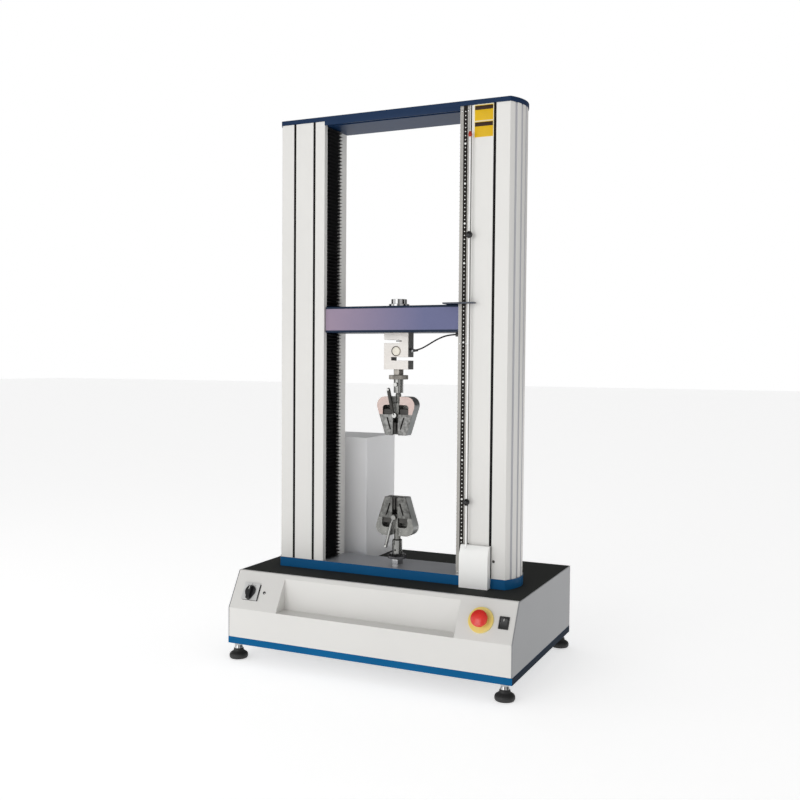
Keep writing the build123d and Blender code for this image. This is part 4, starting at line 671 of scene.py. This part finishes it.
class PANELS_OT_finish(bpy.types.Operator):
    """Finish the base, columns, bed and top with enamel and rounded edges"""

    bl_idname = "machine.finish_panels"
    bl_label = "Base, columns and top"

    def execute(self, context):
        width = context.scene.machine_finish.edge_width
        column_arc, flute_depth = 0.105, 0.0006

        def plinth_face(centre, normal):
            if normal.z < -0.9:
                return 1
            # Left and right ends get the dark copy of the blue: painted shade
            return 2 if abs(normal.x) > 0.8 else 0

        # Faces in the flute grooves get the darker enamel: painted shade
        def in_flute(centre, normal):
            across = abs(centre.x) - (COLUMN_HIGH.x - column_arc)
            away = centre.y - MACHINE_Y
            inside = Vector((across, away)).length < column_arc - flute_depth
            return int(across > 0 and abs(away) < column_arc / 2 and inside)

        soften("front_panel", STAND, "white_paint", "white", width=width)
        # The base cover gets the darker copy of the white: painted shade
        soften("base_cover", STAND, "white_paint", "base_cover_shade", width=width * 0.8)
        soften(
            "base_tray", STAND, "blue_paint", "blue", "frame", "plinth_shade", width=width * 0.7,
            choose=plinth_face,
        )
        for node in ("column_left", "column_right"):
            soften(node, STAND, "white_paint", "white", "flute", width=0.0005, choose=in_flute)
        # The switch housing gets the lighter copy of the white: painted light
        soften("switch_housing", STAND, "white_paint", "bright_white", width=width)
        # The rear housing gets its lighter paint: painted light
        soften("rear_housing", STAND, "grey_paint", "housing", width=width)
        soften("top_plate", STAND, "blue_paint", "beam_blue", width=width * 0.6)
        soften("cross_beam", STAND, "blue_paint", "beam_blue", width=width * 0.6)

        fascia_end = COLUMN_LOW.x - 0.0003
        setback, fascia_depth = 0.0002, 0.004
        shape = bmesh.new()
        block(
            shape, (-fascia_end, TOP_LOW.y + setback, BEAM_LOW),
            (fascia_end, TOP_LOW.y + fascia_depth, TOP_HIGH.z - setback), bevel=0.0005,
        )
        settle(shape, "beam_fascia", STAND, "blue_paint", "beam_blue")
        soften(
            "bed_plate", STAND, "blue_paint", "bed_blue", "bed", width=0.001,
            choose=lambda centre, normal: int(normal.z > 0.9),
        )
        soften("deck_mat", STAND, "black_mat", "mat", width=0.0005)
        soften("trip_finger", "crosshead", "blue_paint", "navy", width=0.0006)
        soften("crosshead_beam", "crosshead", "crosshead_paint", "crosshead", width=0.0008)

        # Nodes that are shown as they are
        for key, nodes in {
            "black_slot_and_shade": ("slot_covers",),
            "frame": ("base_frame",),
            "black_paint": ("servo_motor",),
            "rubber": ("timing_belt",),
            "plastic": ("power_inlet",),
            "ruler": ("ruler_strip",),
            "rod": ("limit_rod",),
            "chrome": ("guide_rods",),
            "ground": (
                "screw_bearings", "ball_screw_left", "ball_screw_right", "motor_pulley", "crosshead_bearings",
            ),
        }.items():
            for node in nodes:
                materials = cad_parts[node].data.materials
                materials.clear()
                materials.append(paint(key))
        return {"FINISHED"}


class BELLOWS_OT_fold(bpy.types.Operator):
    """Fold the pleated bellows that close the columns above and below the crosshead"""

    bl_idname = "machine.fold_bellows"
    bl_label = "Bellows"

    def execute(self, context):
        pitch = context.scene.machine_detail.pleat_pitch
        cloth_low, cloth_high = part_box("bellows_lower")
        middle = (cloth_low.y + cloth_high.y) / 2
        cloth_width = (cloth_high.y - cloth_low.y) * 0.994
        crest, flank, root = 0.2045, 0.1965, 0.1871
        sag, wall = 0.0006, 0.0009
        pleat = ((crest, 0.0), (flank, sag), (root, 0.0), (flank, -sag))
        for level, low, high, bodies in (
            ("lower", COLUMN_LOW.z, HEAD_LOW, (STAND, "crosshead")),
            ("upper", HEAD_HIGH, BEAM_LOW, ("crosshead", STAND)),
        ):
            rows = len(pleat) * round((high - low) / pitch)
            shape = bmesh.new()
            for sign in (-1, 1):
                verts = bmesh.ops.create_grid(shape, x_segments=rows, y_segments=2, size=0.5)["verts"]
                for v in verts:
                    step = round((v.co.x + 0.5) * rows)
                    out, drop = pleat[step % len(pleat)]
                    height = low + (high - low) * step / rows + drop
                    v.co = (sign * out, middle + v.co.y * cloth_width, height)
            bmesh.ops.recalc_face_normals(shape, faces=shape.faces)
            bmesh.ops.solidify(shape, geom=shape.faces, thickness=wall)
            piece = settle(
                shape, f"bellows_{level}_cloth", None, "bellows_rubber", "bellows",
                hides=(f"bellows_{level}",), sharp=50,
            )
            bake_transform(piece)
        return {"FINISHED"}


# Ruler, placards and screws


class RULER_OT_mark(bpy.types.Operator):
    """Mark the ruler strip with its black band and white dots"""

    bl_idname = "machine.mark_ruler"
    bl_label = "Ruler marks"

    def execute(self, context):
        detail = context.scene.machine_detail
        low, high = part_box("ruler_strip")
        face = low.y
        head = TOP_LOW.z - 0.0005
        band_left, band_right, band_foot = low.x + 0.0085, low.x + 0.0195, low.z + 0.004
        band_raise, band_sunk, dot_raise = 0.0004, 0.0002, 0.0003
        shape = bmesh.new()
        block(shape, (low.x, face, high.z), (high.x, high.y, head), bevel=0.0001)
        settle(shape, "ruler_head", STAND, "ground_steel", "ruler")
        shape = bmesh.new()
        block(
            shape, (band_left, face - band_raise, band_foot), (band_right, face + band_sunk, head),
            bevel=0.0001,
        )
        settle(shape, "ruler_band", STAND, "black_paint", "ruler_black")

        # A large dot at every tenth place
        dot_shift, first_dot_z, small, large = 0.002, low.z + 0.015, 0.45, 0.85
        first, last = round(first_dot_z / detail.dot_pitch), int((high.z - dot_shift) / detail.dot_pitch)
        shape = bmesh.new()
        for k in range(first, last + 1):
            place = ((band_left + band_right) / 2, face - dot_raise, k * detail.dot_pitch + dot_shift)
            radius = detail.dot_size * (large if k % 10 == 5 else small)
            disc(shape, place, (0, -1, 0), radius, dot_raise, segments=10)
        settle(shape, "ruler_dots", STAND, "white_paint", "white_print_and_highlight")

        screw_radius, screw_height, screw_inset = 0.0022, 0.0012, 0.006
        left_screw_x, right_screw_x = low.x + 0.0045, high.x - 0.0035
        shape = bmesh.new()
        for z in (low.z + screw_inset, 0.5 * (low.z + high.z), high.z - screw_inset):
            for x in (left_screw_x, right_screw_x):
                disc(shape, (x, face, z), (0, -1, 0), screw_radius, screw_height, segments=14, bevel=0.0004)
        settle(shape, "ruler_screws", STAND, "chrome", "chrome")
        return {"FINISHED"}


class PLACARDS_OT_fit(bpy.types.Operator):
    """Fit the two blank yellow placards near the top of the right column"""

    bl_idname = "machine.fit_placards"
    bl_label = "Placards"

    def execute(self, context):
        left, right, tall = 0.2330, 0.2850, 0.0407
        feet = (TOP_LOW.z - 0.0825, TOP_LOW.z - 0.0415)
        # Each layer: piece, finish, inset at the sides, front, back, inset at the foot and at the head
        for name, key, side, front, back, foot_inset, head_inset in (
            ("placard_borders", "cream", 0.0, 0.0006, -0.0001, 0.0, 0.0),
            ("placard_fields", "yellow", 0.0018, 0.0009, 0.0004, 0.0006, 0.0020),
            ("placard_heads", "placard_dark", 0.0022, 0.0011, 0.0006, 0.0272, 0.0035),
        ):
            shape = bmesh.new()
            for foot in feet:
                block(
                    shape, (left + side, COLUMN_FRONT - front, foot + foot_inset),
                    (right - side, COLUMN_FRONT - back, foot + tall - head_inset), bevel=0.0001,
                )
            settle(shape, name, STAND, "yellow_plastic", key)
        return {"FINISHED"}


class SCREWS_OT_fit(bpy.types.Operator):
    """Fit the visible screws of the housings, columns, top and base"""

    bl_idname = "machine.fit_screws"
    bl_label = "Screws"

    def execute(self, context):
        # Heads sit a little in the sheet under them
        sunk = 0.0002
        top_radius, top_height, top_spread = 0.006, 0.0022, 0.045
        column_screws_x = (-0.31, -0.215, 0.215, 0.31)
        cover_screws_x, cover_screws_z = (-0.375, -0.12, 0.14, 0.385), (0.075, 0.215)
        shape = bmesh.new()
        for x in column_screws_x:
            for y in (MACHINE_Y - top_spread, MACHINE_Y + top_spread):
                cap_screw(shape, (x, y, TOP_HIGH.z - top_height - sunk), (0, 0, 1), top_radius, top_height)
        rear_height, cover_radius, housing_radius = 0.0018, 0.0035, 0.0032
        cover_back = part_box("base_cover")[1].y
        for x in cover_screws_x:
            for z in cover_screws_z:
                cap_screw(shape, (x, cover_back - sunk, z), (0, 1, 0), cover_radius, rear_height)
        low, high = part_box("rear_housing")
        inset_x, inset_z = 0.014, 0.015
        for x in (low.x + inset_x, high.x - inset_x):
            for z in (low.z + inset_z, high.z - inset_z):
                cap_screw(shape, (x, high.y - sunk, z), (0, 1, 0), housing_radius, rear_height)
        settle(shape, "housing_screws", STAND, "black_steel", "black_steel")

        screw_x, screw_z, screw_radius, screw_height = 0.2975, 0.299, 0.0036, 0.0016
        shape = bmesh.new()
        disc(
            shape, (screw_x, COLUMN_FRONT + sunk, screw_z), (0, -1, 0), screw_radius, screw_height,
            segments=16, bevel=0.0004,
        )
        settle(shape, "column_screw", STAND, "ground_steel", "roller")

        lip_left, lip_right = 0.2272, 0.2314
        lip_front, lip_back = COLUMN_FRONT - 0.0001, COLUMN_FRONT + 0.0022
        lip_foot, lip_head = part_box("switch_housing")[1].z + 0.002, TOP_LOW.z - 0.001
        shape = bmesh.new()
        block(shape, (lip_left, lip_front, lip_foot), (lip_right, lip_back, lip_head))
        settle(shape, "slot_lip", STAND, "white_paint", "white")
        return {"FINISHED"}


# Controls


class CONTROLS_OT_dress(bpy.types.Operator):
    """Dress the rotary switch, indicator, emergency stop and rocker switch on the slope"""

    bl_idname = "machine.dress_controls"
    bl_label = "Controls on the slope"

    def execute(self, context):
        finished = {
            node: soften(node, body, slot, key, width=width)
            for node, body, slot, key, width in (
                ("rotary_plate", STAND, "ground_steel", "silver", 0.0004),
                ("rotary_knob", "switch_knob", "black_plastic", "gloss", 0.0012),
                ("estop_disc", STAND, "yellow_plastic", "disc_yellow", 0.0008),
                ("estop_button", "stop_button", "red_plastic", "red", 0.0012),
                ("rocker_frame", STAND, "black_plastic", "plastic", 0.0006),
                ("rocker", "rocker_key", "black_plastic", "plastic", 0.0006),
            )
        }
        knob_foot, knob_sunk = 0.004, 0.45
        for v in finished["rotary_knob"].data.vertices:
            out = (v.co - SLOPE_MIDDLE).dot(SLOPE_OUT)
            if out > knob_foot:
                v.co -= SLOPE_OUT * (out - knob_foot) * knob_sunk

        plate_low, plate_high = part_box("rotary_plate")
        rotary_x = (plate_low.x + plate_high.x) / 2
        half = (plate_high.x - plate_low.x) / 2
        dark_edge_inset, dark_edge_right, dark_edge_below, dark_edge_height = 0.004, 0.0036, 0.0012, 0.0011
        # A black sheet under the plate shows as a dark edge along its right side and below it
        shape = bmesh.new()
        block(
            shape, (-half + dark_edge_inset, -half - dark_edge_below, 0),
            (half + dark_edge_right, half - dark_edge_inset, dark_edge_height), bevel=0.0004,
            turn=SLOPE_MATRIX @ Matrix.Translation((rotary_x, 0, 0)),
        )
        settle(shape, "rotary_dark_edge", STAND, "black_rubber", "gloss")

        # Marks for the three positions, the pointer on the knob and the mark on the rocker
        plate_face, line_half, print_thick, mark_foot, mark_head = 0.0020, 0.0005, 0.00015, 0.0175, 0.0210
        shape = bmesh.new()
        for degrees in (-35, 0, 35):
            place = Matrix.Translation((rotary_x, 0, plate_face)) @ Matrix.Rotation(-radians(degrees), 4, "Z")
            block(
                shape, (-line_half, mark_foot, 0), (line_half, mark_head, print_thick),
                turn=SLOPE_MATRIX @ place,
            )
        settle(shape, "rotary_scale", STAND, "black_paint", "print_black")

        rocker_x, rocker_face, knob_face = 0.370, 0.0042, 0.0129

        def white_line(name, body, foot, head, place):
            half_width, thick = 0.0006, 0.0003
            shape = bmesh.new()
            turn = SLOPE_MATRIX @ Matrix.Translation(place)
            block(shape, (-half_width, foot, 0), (half_width, head, thick), turn=turn)
            settle(shape, name, body, "white_paint", "white_print_and_highlight")

        white_line("rotary_pointer", "switch_knob", 0.003, 0.0155, (rotary_x, -0.001, knob_face))
        self.fit_indicator()
        white_line("rocker_mark", "rocker_key", 0.0035, 0.0095, (rocker_x, 0, rocker_face))
        return {"FINISHED"}

    def fit_indicator(self):
        """Fit the small round indicator beside the rotary switch, with a glint on it."""
        lens, glint = slope(-0.302, -0.0005, -0.0004), slope(-0.3000, -0.0020, 0.0014)
        lens_radius, lens_tip, lens_height = 0.0042, 0.0034, 0.0022
        glint_radius, glint_height = 0.0012, 0.0005
        shape = bmesh.new()
        disc(shape, lens, SLOPE_OUT, lens_radius, lens_height, segments=28, top=lens_tip, bevel=0.0004)
        settle(shape, "indicator_lens", STAND, "black_plastic", "gloss")
        shape = bmesh.new()
        disc(shape, glint, SLOPE_OUT, glint_radius, glint_height, segments=16, bevel=0.0001)
        settle(shape, "indicator_glint", STAND, "white_paint", "white_print_and_highlight")


# Load strings and grips


class STRING_OT_dress(bpy.types.Operator):
    """Dress the load cell, nuts, lock rings, coupling and spindle"""

    bl_idname = "machine.dress_string"
    bl_label = "Load cell and load strings"

    def execute(self, context):
        self.dress_cell()
        for node, body, slot, key, width in (
            ("upper_hex_nut", "crosshead", "chrome", "ring", 0.0008),
            ("lower_hex_nut", STAND, "chrome", "chrome", 0.0008),
            ("upper_coupling", "crosshead", "chrome", "lever_steel", 0.0006),
            ("upper_pin", "coupling_pin", "chrome", "lever_steel", 0.0006),
            ("lower_spindle", STAND, "chrome", "lever_steel", 0.0006),
            ("crosshead_nut", "crosshead", "chrome", "chrome", 0.0008),
        ):
            soften(node, body, slot, key, width=width)
        knurls = context.scene.machine_detail.knurls
        bore, chamfer, knurl_depth = 0.0081, 0.001, 0.0007
        rim_height, cone = 0.0066, 0.006
        for level, key in (("upper", "ring"), ("lower", "ring_dark")):
            low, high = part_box(f"{level}_lock_ring")
            radius = (high.x - low.x) / 2
            upper_outline = (
                (bore, low.z), (radius - chamfer, low.z), (radius, low.z + chamfer),
                (radius, high.z - chamfer), (radius - chamfer, high.z), (bore, high.z),
            )
            lower_outline = (
                (bore, low.z), (radius, low.z), (radius, low.z + rim_height), (radius - cone, high.z),
                (bore, high.z),
            )
            outline = upper_outline if level == "upper" else lower_outline
            shape = bmesh.new()
            points = [(r, MACHINE_Y, z) for r, z in outline]
            lathe(shape, points, (0, MACHINE_Y, 0), (0, 0, 1), 2 * knurls)
            rim = radius - 0.0005
            for v in shape.verts:
                out = Vector((v.co.x, v.co.y - MACHINE_Y))
                groove = round(atan2(out.y, out.x) / (pi / knurls)) % 2
                if groove and out.length > rim:
                    out *= (radius - knurl_depth) / radius
                    v.co.x, v.co.y = out.x, MACHINE_Y + out.y
            settle(
                shape, f"{level}_knurled_ring", f"{level}_ring", "ground_steel", key,
                hides=(f"{level}_lock_ring",), sharp=20,
            )
        return {"FINISHED"}

    def dress_cell(self):
        """Dress the load cell and its round plug, with painted shade on its side, in its hollow, round the
        plug and at the end of its upper saw cut.
        """
        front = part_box("load_cell")[0].y
        hollow_half, hollow_depth, hollow_top = 0.034, 0.016, 0.865

        # The right side and the faces in the hollow get the dark finish: painted shade
        def milled(centre, normal):
            across = abs(centre.x) < hollow_half and abs(centre.y - MACHINE_Y) < hollow_depth
            return int(normal.x > 0.7 or across and centre.z < hollow_top)

        soften("load_cell", "crosshead", "cell_metal", "cell", "cell_shade", width=0.0006, choose=milled)

        plug_z, plug_radius, plug_height, plug_sunk = 0.830, 0.0108, 0.0016, 0.001
        ring_inner, ring_outer, ring_raise, ring_edge, ring_sunk = 0.0112, 0.0133, 0.0005, 0.0004, 0.0015
        # A dark ring round the plug: painted shadow of its groove
        shape = bmesh.new()
        outline = (
            (ring_inner, front + ring_sunk), (ring_inner, front - 0.0002),
            (ring_inner + ring_edge, front - ring_raise), (ring_outer - ring_edge, front - ring_raise),
            (ring_outer, front - 0.0002), (ring_outer, front + ring_sunk),
        )
        lathe(shape, [(r, y, plug_z) for r, y in outline], (0, 0, plug_z), (0, 1, 0), 64)
        settle(shape, "cell_plug_shadow_ring", "crosshead", "black_steel", "plug_shadow")
        shape = bmesh.new()
        disc(
            shape, (0, front + plug_sunk, plug_z), (0, -1, 0), plug_radius, plug_height, segments=40,
            bevel=0.0003,
        )
        settle(shape, "cell_plug", "crosshead", "cell_metal", "cream_metal")
        # A dark strip at the end of the upper saw cut: painted shade of the narrow cut
        saw_length, saw_low, saw_high = 0.0165, 0.8556, 0.8582
        shape = bmesh.new()
        block(shape, (0, front - 0.0006, saw_low), (saw_length, front + 0.0008, saw_high), bevel=0.0002)
        settle(shape, "cell_saw_end_shade", "crosshead", "black_steel", "black_slot_and_shade")


class GRIPS_OT_dress(bpy.types.Operator):
    """Dress the two wedge grips, their jaws and levers"""

    bl_idname = "machine.dress_grips"
    bl_label = "Grips"

    def execute(self, context):
        teeth = context.scene.machine_detail.jaw_teeth
        # Distances from a grip's mouth are measured into the grip
        roller_x, roller_in, roller_radius, roller_sunk, roller_length = 0.0245, 0.0625, 0.0085, 0.006, 0.030
        slit_x, slit_in, slit_lean = 0.0197, 0.032, 0.31707
        slit_low, slit_high = (-0.017, -0.0002, -0.0015), (0.017, 0.0006, 0.0015)
        tooth_x, tooth_radius, jaw_width, first_tooth, tooth_row = 0.0020, 0.0008, 0.025, 0.0032, 0.030
        hub_out, hub_in = 0.024, 0.054
        tip_out, tip_radius, tip_end, tip_height = 0.032, 0.0034, 0.0026, 0.0012
        # A lever has a slot, the finishes of its arm and hub, and the hub's size.
        # A tip has x, reach and thickness.
        upper_lever, upper_tip = ("black_steel", "roller", "lever_steel", 0.0055), (-0.0147, 0.123, 0.0046)
        lower_lever, lower_tip = ("chrome", "lever_steel", "black_steel", 0.003), (-0.0190, 0.131, 0.0042)
        for level, up, body, lever, tip in (
            ("upper", 1, "upper_grip", upper_lever, upper_tip),
            ("lower", -1, STAND, lower_lever, lower_tip),
        ):
            low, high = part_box(f"{level}_grip_plates")
            front, mouth = low.y, low.z if up > 0 else high.z

            def part_of_body(centre, normal):
                # Side faces get the flank finish: painted shade on the upper grip, painted light on the lower
                if abs(normal.x) > 0.35 and abs(centre.x) > 0.03:
                    return 1
                return 2 if level == "upper" and normal.y < -0.9 and centre.y < front + 0.001 else 0

            soften(
                f"{level}_grip_body", body, "grip_steel", "grip", f"{level}_side", "grip_face", width=0.0008,
                choose=part_of_body,
            )
            soften(f"{level}_grip_plates", body, "grip_steel", f"{level}_plate", width=0.0005)
            rollers, slit_shades = bmesh.new(), bmesh.new()
            for sign in (-1, 1):
                disc(
                    rollers, (sign * roller_x, front + roller_sunk, mouth + up * roller_in), (0, 1, 0),
                    roller_radius, roller_length, segments=32, bevel=0.0006,
                )
                # Dark blocks on the plates' front for the guide slits: painted shade
                middle = Vector((sign * slit_x, front - 0.0001, mouth + up * slit_in))
                lean = Matrix.Rotation(-atan2(up, sign * slit_lean), 4, "Y")
                block(slit_shades, slit_low, slit_high, bevel=0.0002, turn=Matrix.Translation(middle) @ lean)
            settle(rollers, f"{level}_grip_rollers", body, "black_steel", "roller")
            settle(slit_shades, f"{level}_guide_slit_shades", body, "black_steel", "black_slot_and_shade")

            for side, sign in (("left", -1), ("right", 1)):
                jaw = f"{level}_jaw_{side[0]}"
                soften(f"{level}_jaw_{side}", jaw, "black_steel", "roller", width=0.0005)
                shape = bmesh.new()
                for k in range(teeth):
                    z = mouth + up * (first_tooth + k * tooth_row / teeth)
                    start = (sign * tooth_x, MACHINE_Y - jaw_width / 2, z)
                    disc(shape, start, (0, 1, 0), tooth_radius, jaw_width, segments=3)
                settle(shape, f"{level}_jaw_teeth_{side}", jaw, "black_steel", "black_steel")

            lever_slot, arm_paint, hub_paint, hub_size = lever
            hub = Vector((0, MACHINE_Y - hub_out, mouth + up * hub_in))
            soften(
                f"{level}_lever", f"{level}_handle", lever_slot, arm_paint, hub_paint, width=0.0006,
                choose=lambda centre, normal: int((centre - hub).length < hub_size),
            )
            tip_x, tip_reach, tip_thick = tip
            # A white disc facing the front on each chrome lever tip: painted highlight
            place = (tip_x, MACHINE_Y - tip_out - tip_thick, mouth + up * tip_reach)
            shape = bmesh.new()
            disc(shape, place, (0, -1, 0), tip_radius, tip_height, top=tip_end, bevel=0.0002)
            settle(shape, f"{level}_lever_tip_highlight", f"{level}_handle", "chrome", "white_print_and_highlight")
        return {"FINISHED"}


# Limit rod and feet


class LIMITS_OT_dress(bpy.types.Operator):
    """Dress the stop collars with round knobs and finish the cap of the limit rod"""

    bl_idname = "machine.dress_limits"
    bl_label = "Limit rod and collars"

    def execute(self, context):
        rod = sum(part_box("limit_rod"), Vector()) / 2
        ball_radius, sleeve_radius, sleeve_half = 0.0084, 0.0044, 0.0088
        for level in ("upper", "lower"):
            node, body = f"collar_{level}", f"stop_{level}"
            low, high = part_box(node)
            middle = Vector((rod.x, rod.y, (low.z + high.z) / 2))
            shape = bmesh.new()
            bmesh.ops.create_uvsphere(
                shape, u_segments=32, v_segments=20, radius=ball_radius,
                matrix=Matrix.Translation(middle) @ Matrix.Rotation(pi / 2, 4, "X"),
            )
            settle(shape, f"{node}_ball", body, "black_plastic", "gloss", hides=(node,))
            shape = bmesh.new()
            foot = middle - Vector((0, 0, sleeve_half))
            disc(shape, foot, (0, 0, 1), sleeve_radius, 2 * sleeve_half, bevel=0.0005)
            settle(shape, f"{node}_sleeve", body, "black_steel", "roller")

        low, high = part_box("rod_cap")
        foot_radius, belly_radius, head_radius = 0.0034, 0.0054, 0.0026
        foot_height, head_height = 0.006, 0.008
        foot = Vector(((low.x + high.x) / 2, (low.y + high.y) / 2, low.z + 0.001))
        shape = bmesh.new()
        disc(shape, foot, (0, 0, 1), foot_radius, foot_height, top=belly_radius)
        belly = foot + Vector((0, 0, foot_height))
        disc(shape, belly, (0, 0, 1), belly_radius, head_height, top=head_radius, bevel=0.0004)
        settle(shape, "rod_cap_moulded", "trip_rod", "red_plastic", "cap_red", hides=("rod_cap",))
        return {"FINISHED"}


class FEET_OT_dress(bpy.types.Operator):
    """Finish the levelling feet"""

    bl_idname = "machine.dress_feet"
    bl_label = "Levelling feet"

    def execute(self, context):
        pad_radius = 0.025
        outline = (
            (0.0062, 0.0), (0.0190, 0.0), (0.0228, 0.0012), (0.0246, 0.0040), (pad_radius, 0.0075),
            (0.0248, 0.0110), (0.0230, 0.0145), (0.0180, 0.0180), (0.0150, 0.0200), (0.0140, 0.0215),
            (0.0130, 0.0262), (0.0118, 0.0275), (0.0062, 0.0280),
        )
        low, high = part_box("foot_pads")
        shape = bmesh.new()
        for x in (low.x + pad_radius, high.x - pad_radius):
            for y in (low.y + pad_radius, high.y - pad_radius):
                lathe(shape, [(x + r, y, z) for r, z in outline], (x, y, 0), (0, 0, 1), 48)
        settle(shape, "foot_pads_moulded", STAND, "black_rubber", "rubber", hides=("foot_pads",), sharp=50)
        soften("foot_studs", STAND, "chrome", "chrome", width=0.0005)
        return {"FINISHED"}


# Panel, registering and running


PIECE_OPERATORS = (
    STAGE_OT_build, CABLE_OT_lay, PANELS_OT_finish, BELLOWS_OT_fold, RULER_OT_mark, PLACARDS_OT_fit,
    SCREWS_OT_fit, CONTROLS_OT_dress, STRING_OT_dress, GRIPS_OT_dress, LIMITS_OT_dress, FEET_OT_dress,
)


class VIEW3D_PT_test_machine(bpy.types.Panel):
    """Sidebar panel with every step of the dressing"""

    bl_label = "Test Machine"
    bl_idname = "VIEW3D_PT_test_machine"
    bl_space_type = "VIEW_3D"
    bl_region_type = "UI"
    bl_category = "Test Machine"

    def draw(self, context):
        scene = context.scene
        for operator in PIECE_OPERATORS:
            self.layout.operator(operator.bl_idname)
        for group in (scene.machine_stage, scene.machine_finish, scene.machine_detail):
            box = self.layout.box()
            for name in group.bl_rna.properties.keys():
                if name not in {"rna_type", "name"}:
                    box.prop(group, name)


CLASSES = (StageSettings, FinishSettings, DetailSettings, *PIECE_OPERATORS, VIEW3D_PT_test_machine)


def register():
    for cls in CLASSES:
        bpy.utils.register_class(cls)
    bpy.types.Scene.machine_stage = PointerProperty(type=StageSettings)
    bpy.types.Scene.machine_finish = PointerProperty(type=FinishSettings)
    bpy.types.Scene.machine_detail = PointerProperty(type=DetailSettings)


def unregister():
    del bpy.types.Scene.machine_stage, bpy.types.Scene.machine_finish, bpy.types.Scene.machine_detail
    for cls in reversed(CLASSES):
        bpy.utils.unregister_class(cls)


def main():
    register()
    for operator in PIECE_OPERATORS:
        group, call = operator.bl_idname.split(".")
        getattr(getattr(bpy.ops, group), call)()


if __name__ == "__main__":
    main()
